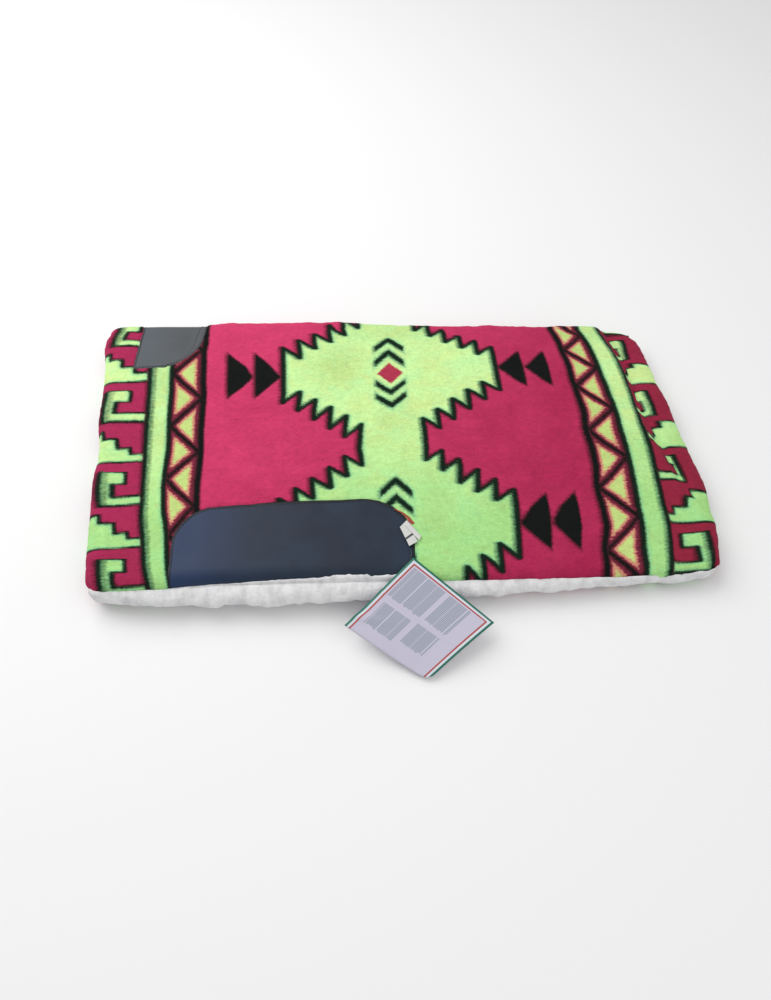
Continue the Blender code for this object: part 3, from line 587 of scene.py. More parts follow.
# what differs between the two halves: which way is out, how coarse the cover's grid is, the seeds
# of the lumps, and the body and the span over which cloth bends beside their hinge line
halves = {"near": {"sign": 1, "coarse": 1.0, "coverSeed": 11, "fleeceSeed": 51, "body": "near_side",
                   "bendStart": (0, 0.2102, 0.0354), "bendEnd": (0, 0.1984, 0.0472)},
          "off": {"sign": -1, "coarse": 1.25, "coverSeed": 31, "fleeceSeed": 71, "body": "off_side",
                  "bendStart": (0, 0.2102, 0.0118), "bendEnd": (0, 0.1984, 0.0)}}
frontEnd = [(0.2100, -0.3880), (0.1984, -0.3960), (0.1875, -0.3998), (0.172, -0.3996), (0.157, -0.3971),
            (0.135, -0.3940), (0.115, -0.3925), (0.0997, -0.3913), (0.0858, -0.3893), (0.0452, -0.3889),
            (0.0321, -0.3876), (0.0190, -0.3845), (0.006, -0.3820), (-0.0189, -0.3803), (-0.0311, -0.3817),
            (-0.0552, -0.3811), (-0.0786, -0.3796), (-0.1015, -0.3774), (-0.1239, -0.3752),
            (-0.1456, -0.3733), (-0.1669, -0.3704), (-0.1876, -0.3680), (-0.1960, -0.3665)]
rearEnd = [(0.1984, 0.3560), (0.189, 0.3645), (0.177, 0.3690), (0.156, 0.3715), (0.133, 0.3745),
           (0.103, 0.3762), (0.088, 0.3795), (0.057, 0.3840), (0.029, 0.3865), (0.002, 0.3895),
           (-0.024, 0.3925), (-0.050, 0.3965), (-0.062, 0.3980), (-0.075, 0.3982), (-0.087, 0.3970),
           (-0.099, 0.3950), (-0.122, 0.3957), (-0.134, 0.3955), (-0.156, 0.3934), (-0.167, 0.3914),
           (-0.178, 0.3894), (-0.188, 0.3876), (-0.196, 0.3862)]
hemLift = [(-0.41, -0.0035), (-0.31, -0.0040), (-0.26, -0.0020), (-0.22, 0.0), (0.26, 0.0), (0.321, 0.0012),
           (0.346, 0.0030), (0.370, 0.0058), (0.384, 0.0110), (0.41, 0.0150)]
sag = [(-0.40, -0.0015), (-0.34, -0.0010), (-0.25, 0.0), (-0.13, 0.0), (0.0, 0.0025), (0.16, 0.0050),
       (0.25, 0.0065), (0.30, 0.0080), (0.34, 0.0095), (0.40, 0.0105)]
overhang = [(-0.40, 0.001), (-0.385, 0.0010), (-0.372, 0.0022), (-0.355, 0.0078), (-0.33, 0.0118),
            (-0.30, 0.0150), (-0.27, 0.0176), (-0.21, 0.0205), (-0.17, 0.0222), (-0.13, 0.0216),
            (-0.08, 0.0200), (-0.05, 0.0185), (0.05, 0.0160), (0.12, 0.0150), (0.20, 0.0098),
            (0.26, 0.0050), (0.30, 0.0034), (0.345, 0.0044), (0.37, 0.0030), (0.39, 0.0012), (0.41, 0.001)]
foldDepth = [(-0.40, 0.0110), (-0.385, 0.0150), (-0.36, 0.0165), (-0.27, 0.0170), (-0.250, 0.0195),
             (-0.230, 0.0232), (-0.07, 0.0226), (-0.03, 0.0172), (0.03, 0.0130), (0.28, 0.0124),
             (0.300, 0.0110), (0.3157, 0.0086), (0.330, 0.0064), (0.344, 0.0042), (0.358, 0.0018),
             (0.37, 0.0006)]
# the crease where the rear border drops behind the thick part: its line, depth and drop
creaseLine = [(0.198, 0.3150), (0.172, 0.3235), (0.144, 0.3300), (0.085, 0.335), (0.052, 0.337),
              (0.032, 0.341), (0.012, 0.345), (-0.008, 0.351), (-0.028, 0.355), (-0.058, 0.3630),
              (-0.086, 0.369), (-0.101, 0.380), (-0.116, 0.392), (-0.20, 0.400)]
creaseDepth = [(0.198, 0.0020), (0.176, 0.0050), (0.05, 0.0060), (-0.03, 0.0050), (-0.086, 0.0026),
               (-0.116, 0.0)]
borderDrop = [(0.198, 0.0105), (0.17, 0.0095), (0.13, 0.0070), (0.05, 0.0045), (-0.05, 0.0020), (-0.116, 0.0)]


# share of the full thickness near the edges, a quarter circle on a rim
def rollShare(toEnd, toHem):
    a = np.maximum(0, 1 - toEnd / pad["roll"])
    b = np.maximum(0, 1 - toHem / pad["roll"])
    return pad["rim"] + (1 - pad["rim"]) * np.sqrt(np.maximum(0, 1 - a ** 2 - b ** 2))


# how far the rear border hangs below the thick part, with a round shoulder near the fold
def droop(x, y):
    past = x - tableAt(creaseLine, y)
    shoulder = 0.002 + 0.012 * smooth((y - 0.08) / 0.10)
    return tableAt(borderDrop, y) * smooth((past + shoulder) / (shoulder + 0.007))


# height where the two fleeces meet: a plane that falls toward the rear, lower still under the
# drooping border
def middlePlane(x, y):
    return pad["half"] + pad["frontLift"] - pad["rearDrop"] * (x + 0.4) / 0.8 - droop(x, y) / 2


# thickness of one half away from its edges; the near one sags to the rear, is crowned along
# its middle and has the crease
def fullThickness(side, x, y):
    if side == "off":
        return middlePlane(x, y)
    towardHem = np.clip((pad["hingeY"] - y) / 0.4, 0, 1)
    crown = pad["crown"] * np.sin(math.pi * towardHem) * np.maximum(0, 1 - (x / 0.34) ** 2)
    past = x - tableAt(creaseLine, y)
    groove = tableAt(creaseDepth, y) * np.where(past < 0, smooth(1 + past / 0.007), 1 - smooth(past / 0.014))
    nearFold = 0.0010 * smooth(1 - (pad["hingeY"] - y) / 0.015)
    top = 2 * pad["half"] - tableAt(sag, x) + crown - groove - droop(x, y) - nearFold
    return top - middlePlane(x, y)


# length along the cloth of a place y on the flat part
def clothLength(y):
    return turned + pad["hingeY"] - y


# y of a length along the cloth, which all over the fold is the hinge line's
def clothY(s):
    return pad["hingeY"] - np.maximum(0, s - turned)


# distances in plan to the nearer end and to the hem
def toEdges(x, y):
    return np.minimum(x - tableAt(frontEnd, y), tableAt(rearEnd, y) - x), y - pad["hemY"]


# plan place on the finished outline: free corners on a quarter circle, the hem line lifted
def drawnIn(x, y):
    toEnd, toHem = toEdges(x, y)
    r = np.where(x < 0, *pad["corners"])
    drawnX, drawnY = drawnCorner(np.clip(1 - toEnd / r, 0, 1), np.clip(1 - toHem / r, 0, 1))
    lifted = y + tableAt(hemLift, x) * smooth((-0.09 - y) / 0.105)
    return x - np.where(x < 0, -1, 1) * r * drawnX, lifted + r * drawnY


# a point on the outside of one half: s is the length along the cloth from the strip's middle,
# first up the strip, then round a quarter ellipse about the hinge line, then flat toward the hem.
# sink is the depth under the pile
def padPoint(side, x, s, sink):
    sign = halves[side]["sign"]
    x, s, sink = np.broadcast_arrays(np.asarray(x, float), s, sink)
    y = clothY(s)
    toEnd, toHem = toEdges(x, y)
    level = fullThickness(side, x, y) * rollShare(toEnd, toHem)
    planX, planY = drawnIn(x, y)
    planZ = middlePlane(x, y) + sign * (level - sink)
    fold = np.full(x.shape, pad["hingeY"])
    foldShare = rollShare(toEdges(x, fold)[0], np.full(x.shape, 1.0))
    edgeZ = middlePlane(x, fold) + sign * fullThickness(side, x, fold) * foldShare
    hingeZ = pad["half"] + 0.5 * (edgeZ - pad["half"])
    depth = tableAt(foldDepth, x) * (0.3 + 0.7 * foldShare)
    angle = np.clip((s - pad["strip"]) / pad["bend"], 0, 1) * math.pi / 2
    straight = np.clip(s / pad["strip"], 0, 1)
    rise = edgeZ - hingeZ
    foldY = pad["hingeY"] + np.maximum(depth - sink, 0.0002) * np.cos(angle)
    foldZ = pad["half"] + (hingeZ - pad["half"]) * straight + (rise - sign * sink) * np.sin(angle)
    onFold = s < turned
    return np.stack([np.where(onFold, x, planX), np.where(onFold, foldY, planY),
                     np.where(onFold, foldZ, planZ)], -1)


# distances from an edge of the pad at which its grid has rows and columns
edgeSteps = np.array([0.0, 0.0008, 0.0020, 0.0036, 0.0056, 0.0080, 0.0108, 0.0140, 0.0176])


# plan places of one half: rows from the fold to the hem, columns from front to rear, both
# finer toward the edges; inset holds the ends back
def planGrid(across, down, inset):
    y = np.concatenate([pad["hingeY"] - np.arange(0, pad["hingeY"] - pad["hemY"] - edgeSteps[-1], down),
                        pad["hemY"] + edgeSteps[::-1]])
    front, rear = tableAt(frontEnd, y) + inset, tableAt(rearEnd, y) - inset
    left, right = front[:, None] + edgeSteps[None], rear[:, None] - edgeSteps[None, ::-1]
    inner = np.linspace(0, 1, int(0.74 / across))[None, 1:-1]
    x = np.hstack([left, left[:, -1:] + (right[:, :1] - left[:, -1:]) * inner, right])
    return x, np.repeat(y[:, None], x.shape[1], 1)


# leathers in plan: x of the two sides at the far edge and at the free edge, the free edge's y, and
# the radii of its two corners
sideLeather = {"from": (-0.274, -0.274), "to": (0.017, 0.017), "edge": -0.0922, "slope": 0.038,
               "bow": 0.0035, "far": -0.1952, "toHem": 1, "radii": (0.050, 0.060), "sink": 0.0012,
               "thick": 0.0016, "inset": 0.0045, "pitch": 0.0042, "past": 0.0018}
witherLeather = {"from": (-0.3495, -0.3547), "to": (-0.2585, -0.2680), "edge": 0.1290, "slope": 0.045,
                 "bow": 0.0, "far": 0.1984, "toHem": -1, "radii": (0.006, 0.054), "sink": 0.0012,
                 "thick": 0.0016, "inset": 0.0045, "pitch": 0.0042, "past": 0.0}


# y of the free edge, which leans across the leather and bows out in the middle
def freeEdge(leather, x):
    fromMiddle = x - (leather["from"][0] + leather["to"][0]) / 2
    share = fromMiddle / (leather["to"][0] - leather["from"][0]) * 2
    return leather["edge"] + leather["slope"] * fromMiddle + leather["bow"] * np.maximum(0, 1 - share ** 2)


# the two sides at a distance in from the free edge, straight between their ends
def leatherSides(leather, depth):
    share = np.clip(depth / abs(leather["far"] - leather["edge"]), 0, 1)
    return [leather[k][1] * (1 - share) + leather[k][0] * share for k in ("from", "to")]


# share of a leather's width where its front corner ends: in the ratio of the two radii
def cornerSplit(leather):
    return leather["radii"][0] / sum(leather["radii"])


# signed distance to a leather's outline in plan: a strip between its two sides, open on the far
# side, with two corners of different radius
def leatherDistance(leather, x, y):
    depth = (freeEdge(leather, x) - y) * leather["toHem"]
    front, rear = leatherSides(leather, depth)
    atFront = (x - front) / (rear - front) < cornerSplit(leather)
    r = np.where(atFront, *leather["radii"])
    qx = r - np.where(atFront, x - front, rear - x)
    qy = r - depth
    return np.hypot(np.maximum(qx, 0), np.maximum(qy, 0)) + np.minimum(np.maximum(qx, qy), 0) - r


# the woven pattern, in cloth coordinates: u along the spine, v from the spine toward the hem

weave = {"repeat": 0.244, "tip": 0.1465, "tipHalf": 0.050, "tooth": 0.021, "rise": 0.022, "fall": 0.036,
         "teeth": 5, "outline": 0.0032, "lineA": 0.2525, "lineB": 0.2945, "lineC": 0.3255, "halfA": 0.0038,
         "halfB": 0.0033, "halfC": 0.0031, "zigzag": 0.0407, "halfZigzag": 0.0024, "halfMotif": 0.0027,
         "tall": 1.8, "sweeps": (0.0015, 0.0030, 0.0046), "sweepCost": 0.26, "back": -1.50,
         "spineV": 0.03995}
# stepped fret and pyramid of the border: outlines in distance out from the green stripe, and v
fret = [(-0.02, 0.0425), (0.0400, 0.0425), (0.0400, 0.0235), (0.0235, 0.0235), (0.0235, 0.0020),
        (0.0535, 0.0020), (0.0535, 0.0535), (-0.02, 0.0535)]
pyramid = [(-0.02, 0.097), (0.0175, 0.097), (0.0175, 0.0875), (0.0350, 0.0875), (0.0350, 0.0745),
           (0.0530, 0.0745), (0.0530, 0.0645), (0.20, 0.0645), (0.20, 0.109), (-0.02, 0.109)]


# signed distance to a closed outline: the nearest side, negative where a ray crosses it an odd
# number of times. Lengths along v count more, so strokes are thicker where they run along v
def outlineDistance(u, v, outline):
    nearest, inside, tall = np.full(u.shape, 1.0), np.zeros(u.shape, bool), weave["tall"]
    for a, b in zip(outline, outline[1:] + outline[:1]):
        du, dv = b[0] - a[0], (b[1] - a[1]) * tall
        t = np.clip(((u - a[0]) * du + (v - a[1]) * tall * dv) / (du * du + dv * dv), 0, 1)
        nearest = np.minimum(nearest, np.hypot(u - a[0] - t * du, (v - a[1]) * tall - t * dv))
        if a[1] != b[1]:
            crossing = (a[1] > v) != (b[1] > v)
            inside ^= crossing & (u < (b[0] - a[0]) * (v - a[1]) / (b[1] - a[1]) + a[0])
    return np.where(inside, -nearest, nearest)


# quarter outline of the stepped diamond, from its tip down the teeth to the waist
def serratedDiamond():
    u, v = weave["tip"], weave["tipHalf"]
    points = [(-0.3, -0.3), (u, -0.3), (u, v)]
    for k in range(weave["teeth"]):
        u, v = u - weave["tooth"], v - weave["rise"]
        points.append((u, v))
        v += weave["fall"] if k < weave["teeth"] - 1 else 0.2
        points.append((u, v))
    return points + [(-0.3, v)]


# signed distances in metres to the black and to the green shapes, negative inside
def darkAndLight(u, v):
    u, v = np.abs(u), np.abs(v)
    row = np.abs(np.mod(v, weave["repeat"]) - weave["repeat"] / 2)
    diamond = outlineDistance(u, row, serratedDiamond())
    dark = np.abs(diamond) - weave["outline"]
    for apex, slope in ((0.0590, 0.80), (0.0365, 0.86)):                # chevrons at the waist
        chevron = (np.abs(row - (apex - slope * u)) - 0.0047) / math.hypot(1, slope)
        dark = np.minimum(dark, np.maximum(chevron, u - 0.0220))
    for apex, base in ((0.1495, 0.1840), (0.1865, 0.2210)):             # triangles at the tips
        slope = 0.0375 / (base - apex)
        wedge = (row - slope * (u - apex)) / math.hypot(1, slope)
        dark = np.minimum(dark, np.maximum(wedge, u - base))
    for line in "ABC":
        dark = np.minimum(dark, np.abs(u - weave["line" + line]) - weave["half" + line])
    inner, outer = weave["lineA"] + 0.0036, weave["lineB"] - 0.0030
    swing = np.abs(np.mod(v / weave["zigzag"], 2) - 1)
    slope = (outer - inner) / weave["zigzag"]
    zigzag = np.abs(u - (outer - (outer - inner) * swing)) / math.hypot(1, slope) - weave["halfZigzag"]
    dark = np.minimum(dark, np.maximum(zigzag, np.abs(u - (inner + outer) / 2) - (outer - inner) / 2))
    stripe = np.abs(u - (weave["lineB"] + weave["lineC"]) / 2) - (weave["lineC"] - weave["lineB"]) / 2
    outside = u - weave["lineC"] - 0.0030
    m = np.mod(v - 0.1455, weave["repeat"] / 2)
    motif = np.minimum(outlineDistance(outside, m, fret), outlineDistance(outside, m, pyramid))
    dark = np.minimum(dark, np.maximum(np.abs(motif) - weave["halfMotif"], -outside))
    return dark, np.minimum(np.minimum(diamond, stripe), np.maximum(motif, -outside))


# distances in millimetres to the black, the green and the black swept to the front by leaning
# pile, which is the least of the distances read a little further to the rear; on the green of the
# front border the pile leans the other way, so they are read further to the front; and to the rhombus
def wovenPattern(u, v):
    dark, light = darkAndLight(u, v)
    swept = dark
    turnedBack = (u < -weave["lineB"]) & (light < 0)
    for t in weave["sweeps"]:
        further = darkAndLight(u + t * np.where(turnedBack, weave["back"], 1.0), v)[0]
        swept = np.minimum(swept, further + weave["sweepCost"] * t)
    row = np.abs(np.mod(np.abs(v), weave["repeat"]) - weave["repeat"] / 2)
    rhombus = (np.abs(u) + row - 0.0200) / math.sqrt(2)
    return np.stack([dark, light, swept], -1) * 1000, rhombus * 1000


# where the pattern's lines lie on this cloth, as (y, x): its weave is pulled out of square
leftLines = {"A": [(0.209, -0.2567), (0.158, -0.2579), (0.1175, -0.2545), (0.083, -0.2514), (0.033, -0.2503),
                   (-0.017, -0.2493), (-0.067, -0.2468), (-0.117, -0.2414), (-0.192, -0.236)],
             "B": [(0.209, -0.300), (0.158, -0.300), (0.1175, -0.298), (0.083, -0.2948), (0.033, -0.2927),
                   (-0.017, -0.2907), (-0.067, -0.2888), (-0.117, -0.2798), (-0.167, -0.2744),
                   (-0.192, -0.2699)],
             "C": [(0.209, -0.331), (0.158, -0.331), (0.1175, -0.3287), (0.083, -0.3237), (0.033, -0.3207),
                   (-0.017, -0.3157), (-0.067, -0.3137), (-0.117, -0.3087), (-0.167, -0.3003),
                   (-0.192, -0.2938)]}
rightLines = {"A": [(0.190, 0.242), (0.139, 0.2498), (0.0885, 0.2559), (0.038, 0.2589), (-0.012, 0.2584),
                    (-0.062, 0.2589), (-0.113, 0.2549), (-0.163, 0.2499), (-0.196, 0.2462)],
              "B": [(0.190, 0.2807), (0.139, 0.2912), (0.0885, 0.2993), (0.038, 0.3023), (-0.012, 0.3033),
                    (-0.062, 0.3013), (-0.113, 0.2983), (-0.163, 0.2937), (-0.196, 0.2907)],
              "C": [(0.190, 0.3094), (0.139, 0.3251), (0.0885, 0.3321), (0.038, 0.3338), (-0.012, 0.3351),
                    (-0.062, 0.3349), (-0.113, 0.3337), (-0.163, 0.327), (-0.196, 0.3219)]}
# u at the rear end of the cloth, and what a pinch beside the stripe swallows, as (y, length)
rearEndU = [(0.21, 0.3990), (0.198, 0.4010), (0.183, 0.4042), (0.165, 0.4070), (0.149, 0.4085),
            (0.088, 0.4060), (0.043, 0.4080), (-0.023, 0.4070), (-0.067, 0.4075), (-0.084, 0.4050)]
pinchedCloth = [(-0.07, 0.0), (-0.11, 0.0085)]
# how far the weave is pulled along u and across it, in mm, at these places of the even cloth: the
# output of a separate script that fitted the pattern to the photograph, not measured by hand
pullV = [0.038, 0.05, 0.065, 0.085, 0.11, 0.135, 0.16, 0.19, 0.22, 0.25, 0.28, 0.31, 0.34, 0.37, 0.4,
         0.435]
pullU = [-0.44, -0.4, -0.36, -0.3255, -0.2945, -0.2525, -0.2, -0.1465, -0.1, -0.05, 0.0, 0.05, 0.1,
         0.1465, 0.2, 0.2525, 0.2945, 0.3255, 0.352, 0.374, 0.396, 0.42]
alongPull = [[-5, -6, -8, -5, -2, 2, 2, 1, 0, 2, -1, 5, 7, 5, 6, 8, 7, 3, 2, 2, 2, 2],
             [-3, -4, -4, -3, -1, 1, 2, 2, 0, -1, -1, 3, 4, 3, 5, 4, 3, 1, 2, 2, 2, 2],
             [-2, -1, -2, -1, -1, 0, 1, 2, 0, -6, 0, 3, 2, 2, 2, 2, 1, 0, 3, 3, 2, 2],
             [-1, -1, 1, 0, 0, 1, 1, 1, -4, -5, 1, 4, 1, 0, -1, 3, 0, 0, 3, 4, 2, 2],
             [0, 0, 0, -1, 1, 1, 1, 0, -5, -5, 1, 4, 1, -1, -3, 1, 1, 1, 3, 3, 3, 2],
             [2, 2, -1, 0, 1, 2, 1, -1, -5, -5, 0, 4, 2, -2, -3, 4, 2, 1, 2, 2, 2, 2],
             [4, 6, -3, 2, 1, 1, 1, -2, -4, -5, 0, 4, 0, -3, 0, 3, 2, 1, 3, 2, 1, 1],
             [5, 6, 1, 1, 1, 1, 0, 0, -1, -3, 0, 3, 0, -2, 2, 1, 0, 1, 2, 2, 0, 1],
             [3, 2, 2, 2, 0, 1, 0, 0, -1, 1, 1, 0, 4, 1, 3, 4, 1, 0, 2, 1, 1, 1],
             [2, 1, -1, 3, -1, -1, 0, 0, 0, 4, 0, 0, 4, 2, 3, 1, 0, -1, 2, 2, 2, 1],
             [3, 4, -4, 2, 1, 0, 0, 1, 1, 0, 0, 3, -1, -1, 3, 1, -1, 0, 3, 3, 1, 1],
             [3, 5, -6, 1, 2, 2, 0, 0, 0, -6, 1, 5, 2, -1, 0, 6, -1, 0, 3, 2, 1, 1],
             [-2, -3, -4, 3, 4, 3, 0, -2, -3, -2, 1, 6, 8, -1, -3, 2, -1, 1, 5, 3, 2, 1],
             [-3, -4, -5, 1, 1, 1, 0, -1, -1, 0, 2, 5, 6, 1, -3, -1, -2, -2, 4, 1, -1, -2],
             [-1, -1, -7, 1, 0, 1, 0, 0, 0, 1, 3, 5, 7, 3, 0, 5, 0, -1, 4, 0, -6, -6],
             [0, 1, -3, 1, 0, 0, 0, 0, 1, 1, 3, 5, 5, 6, 4, 2, -2, 1, -2, -4, -8, -8]]
acrossPull = [[4, 4, 3, 4, 4, 3, 0, -3, -5, 0, -1, -9, -14, -9, -12, -15, -16, -16, -34, -34, -32, -32],
              [4, 5, 5, 5, 4, 3, 0, -3, -4, 1, 0, -4, -10, -8, -10, -12, -14, -13, -27, -27, -26, -26],
              [5, 6, 9, 6, 5, 3, 0, -3, 1, 0, 2, 1, -1, -6, -6, -6, -7, -8, -20, -20, -19, -19],
              [4, 5, 5, 5, 5, 3, 0, -3, 3, -1, 1, 2, 6, 3, 2, 2, 2, -1, -14, -14, -14, -14],
              [2, 2, 3, 5, 4, 3, 2, -5, -3, -3, -3, 2, 6, 9, 9, 10, 8, 4, -7, -7, -7, -7],
              [-1, -4, -4, -1, -2, -1, -9, -8, -5, -4, -1, 3, 8, 11, 9, 15, 11, 7, -4, -5, -4, -3],
              [-1, -1, -1, -1, -1, -2, -10, -4, -7, -4, 1, 6, 12, 18, 16, 16, 15, 11, -1, -1, 0, 0],
              [-2, -1, 1, 0, -3, -8, -8, -3, -4, -4, 2, 4, 13, 15, 16, 20, 17, 14, 4, 4, 6, 6],
              [-6, -6, -8, -9, -9, -7, -7, -6, -4, -7, 1, 8, 10, 10, 14, 21, 21, 19, 7, 6, 8, 9],
              [-9, -10, -12, -10, -8, -7, -7, -8, -6, -2, 4, 6, 5, 5, 9, 13, 20, 20, 5, 5, 7, 7],
              [-9, -9, -11, -10, -6, -8, -8, -9, -9, 5, 9, 14, 4, 2, 8, 15, 18, 24, 20, 17, 16, 15],
              [-9, -8, -6, -4, -9, -7, -8, -11, -4, 5, 6, 5, 5, 1, 7, 13, 16, 18, 20, 18, 15, 15],
              [-10, -9, -11, -8, -7, -6, -6, -5, 2, 3, 3, 5, 8, 8, 14, 7, 13, 14, 13, 12, 10, 10],
              [-12, -13, -13, -8, -5, -4, -4, -3, 0, 3, 3, 4, 5, 1, 0, 7, 9, 11, 9, 9, 8, 8],
              [-9, -10, -8, -7, -5, -3, -3, -1, 0, 1, 1, 1, 2, 5, 0, 4, 8, 13, 10, 10, 10, 10],
              [-1, 0, 2, 3, 0, -2, -1, 0, -1, -1, -1, -1, 2, 2, 0, -1, 7, 10, 10, 9, 9, 9]]


# a table of pulls in metres, straight between its rows and columns
def pulledBy(table, u, v):
    i, j = (np.clip(np.searchsorted(net, k) - 1, 0, len(net) - 2) for net, k in ((pullU, u), (pullV, v)))
    netU, netV, table = np.array(pullU), np.array(pullV), np.array(table) / 1000
    f = np.clip((u - netU[i]) / (netU[i + 1] - netU[i]), 0, 1)
    g = np.clip((v - netV[j]) / (netV[j + 1] - netV[j]), 0, 1)
    return blendFour(table[j, i], table[j, i + 1], table[j + 1, i], table[j + 1, i + 1], f, g)


# cloth coordinates of the point at x and at the length s from the strip's middle: u straight
# between the weave's lines, v from the length, past the crease u from the pad's end, then pulled
def clothPlace(x, s):
    y = clothY(s)
    v = pad["hingeY"] + weave["spineV"] - y
    knots = [np.full(x.shape, -1.0)] + [tableAt(leftLines[k], y) for k in "CBA"]
    knots += [np.full(x.shape, -0.1485), np.full(x.shape, 0.1450)]
    knots += [tableAt(rightLines[k], y) for k in "ABC"] + [np.full(x.shape, 1.0)]
    lines = [weave["lineC"], weave["lineB"], weave["lineA"], weave["tip"]]
    values = [-(weave["lineC"] + knots[1] + 1)] + [-k for k in lines] + lines[::-1]
    values.append(weave["lineC"] + 1 - knots[-2])
    u = np.zeros(x.shape)
    for k in range(len(knots) - 1):
        share = (x - knots[k]) / (knots[k + 1] - knots[k])
        u = np.where((x >= knots[k]) & (x < knots[k + 1]), values[k] + share * (values[k + 1] - values[k]), u)
    hidden = tableAt(rearEndU, y) - tableAt(rearEnd, y) - (values[-1] - 1)
    hidden = hidden * smooth((y + 0.116) / 0.03)
    u = u + hidden * smooth((x - tableAt(creaseLine, y) + 0.001) / 0.009)
    u = u + tableAt(pinchedCloth, y) * smooth((x - knots[-2] - 0.0045) / 0.0060)
    u, v = u + pulledBy(alongPull, u, v), v + pulledBy(acrossPull, u, v)
    return u, np.where(s < turned, np.maximum(v, 0.012) * s / turned, v)


# spots of ruffled pile, where the green gets a duller painted shade, as (x, y, radius, share of the duller
# green)
ruffledPileShade = [(-0.080, 0.128, 0.040, 0.50), (0.005, 0.050, 0.028, 0.34), (-0.305, 0.105, 0.045, 0.45),
           (-0.308, 0.020, 0.030, 0.34), (0.040, -0.126, 0.018, 0.40), (-0.350, -0.085, 0.030, 0.34),
           (-0.292, -0.135, 0.022, 0.25)]
# steps of the grid; how far its rim bulges; how deep the pile is pressed under a leather and over
# what distance that begins; height and width of tufts, clumps and swells; and how much deeper than
# the cloth is thick its inner face lies
coverParts = {"across": 0.0026, "down": 0.0029, "rim": 0.0012, "pocket": 0.0034, "pocketEdge": 0.0028,
              "lumps": ((0.00045, 0.0062), (0.0007, 0.019), (0.0010, 0.055)), "gap": 0.0002}


# plush cover of one half: strip, bend, top with rolled edges, as one closed shell. Its skin is
# lowered under the leathers and lumpy elsewhere
def makeCover(side):
    part, half = coverParts, halves[side]
    x, y = planGrid(part["across"] * half["coarse"], part["down"] * half["coarse"], 0.0)
    run = np.concatenate([np.linspace(0, pad["strip"], 6)[:-1],
                          pad["strip"] + np.linspace(0, pad["bend"], 11)[:-1]])
    s = np.concatenate([np.repeat(run[:, None], x.shape[1], 1), clothLength(y)])
    x = np.concatenate([np.repeat(x[:1], len(run), 0), x])
    y = clothY(s)
    fold = s < turned
    wither = np.where(fold, np.maximum(witherLeather["from"][0] - x, x - witherLeather["to"][0]),
                      leatherDistance(witherLeather, x, y))
    under = np.minimum(np.where(fold, 1.0, leatherDistance(sideLeather, x, y)), wither)
    pocket = smooth(-under / part["pocketEdge"])
    outer = padPoint(side, x, s, part["pocket"] * pocket)
    inner = padPoint(side, x, s, pad["cover"] + part["gap"])
    u, v = clothPlace(x, s)
    bumps = sum(high * softNoise(u, v, wide, half["coverSeed"] + k)
                for k, (high, wide) in enumerate(part["lumps"]))
    bumps = bumps * (1 - pocket) * smooth(s / 0.008)
    if side == "off":      # it lies on the floor there, so its lumps are pressed flat and inward
        pressed = smooth((s - pad["strip"]) / pad["bend"] * 2)
        bumps = bumps * (1 - pressed) - 0.3 * np.abs(bumps) * pressed
    outer = raised(outer, bumps, half["sign"])
    bulge = np.where(fold, 0.6, 1.0) * part["rim"]
    bulge[0] = 0
    points, faces, source, share, out = closedShell(outer, inner, bulge, 5)
    past = share * pad["cover"] * 1.4
    flatU, flatV = u.reshape(-1), v.reshape(-1)
    allU = np.concatenate([flatU, flatU, flatU[source] + out[:, 0] * past])
    allV = np.concatenate([flatV, flatV, flatV[source] - out[:, 1] * past])
    flatX, flatY = x.reshape(-1), y.reshape(-1)
    allX, allY = np.concatenate([flatX, flatX, flatX[source]]), np.concatenate([flatY, flatY, flatY[source]])
    piece = makePiece("plushCover" + side.capitalize(), points, [faces], "cover")
    setUv(piece, "cloth", np.stack([allU, allV * half["sign"]], -1))
    pattern, rhombus = wovenPattern(allU, allV)
    setVectors(piece, "pattern", pattern)
    band = (np.abs(allU) > weave["lineA"]) & (np.abs(allU) < weave["lineB"])
    border = np.abs(allU) > weave["lineC"]
    setVectors(piece, "zone", np.stack([band, border, rhombus], -1).astype(float))
    # painted shade: the pile is darker toward the rear and the hem, the green only toward the hem, and
    # the green is duller on the fold and where the pile is ruffled; this stands in for light that falls off
    # there
    patchy = 0.12 * softNoise(allU, allV, 0.045, 5) + 0.08 * softNoise(allU, allV, 0.016, 6)
    pinkShade = np.clip(0.60 * (allX + 0.20) / 0.42 + 0.35 * (0.19 - allY) / 0.37 + patchy, 0, 1)
    greenShade = np.clip((0.05 - allY) / 0.18 + 0.3 * np.clip(allX / 0.4, 0, 1) + patchy, 0, 1)
    # painted shade: the green is duller near the fold, and in spots where the pile is ruffled
    foldShadeAndRuffle = 0.30 * smooth((allY - 0.165) / 0.025)
    for spotX, spotY, wide, share in ruffledPileShade:
        foldShadeAndRuffle = np.maximum(foldShadeAndRuffle, share * np.exp(-((allX - spotX) ** 2 + (allY - spotY) ** 2) / wide ** 2))
    setVectors(piece, "paintedShade", np.stack([pinkShade, greenShade, np.clip(foldShadeAndRuffle + 0.5 * patchy, 0, 1)], -1))
    return piece


# cloth, leather or fleece that bends over the hinge line of its half: its place is baked into its mesh
def acrossFold(piece):
    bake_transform(piece)


coverNear, coverOff = makeCover("near"), makeCover("off")
acrossFold(coverNear)
acrossFold(coverOff)
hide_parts("cover_near", "cover_bend_near", "cover_spine")
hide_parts("cover_off", "cover_bend_off")
print("covers made")


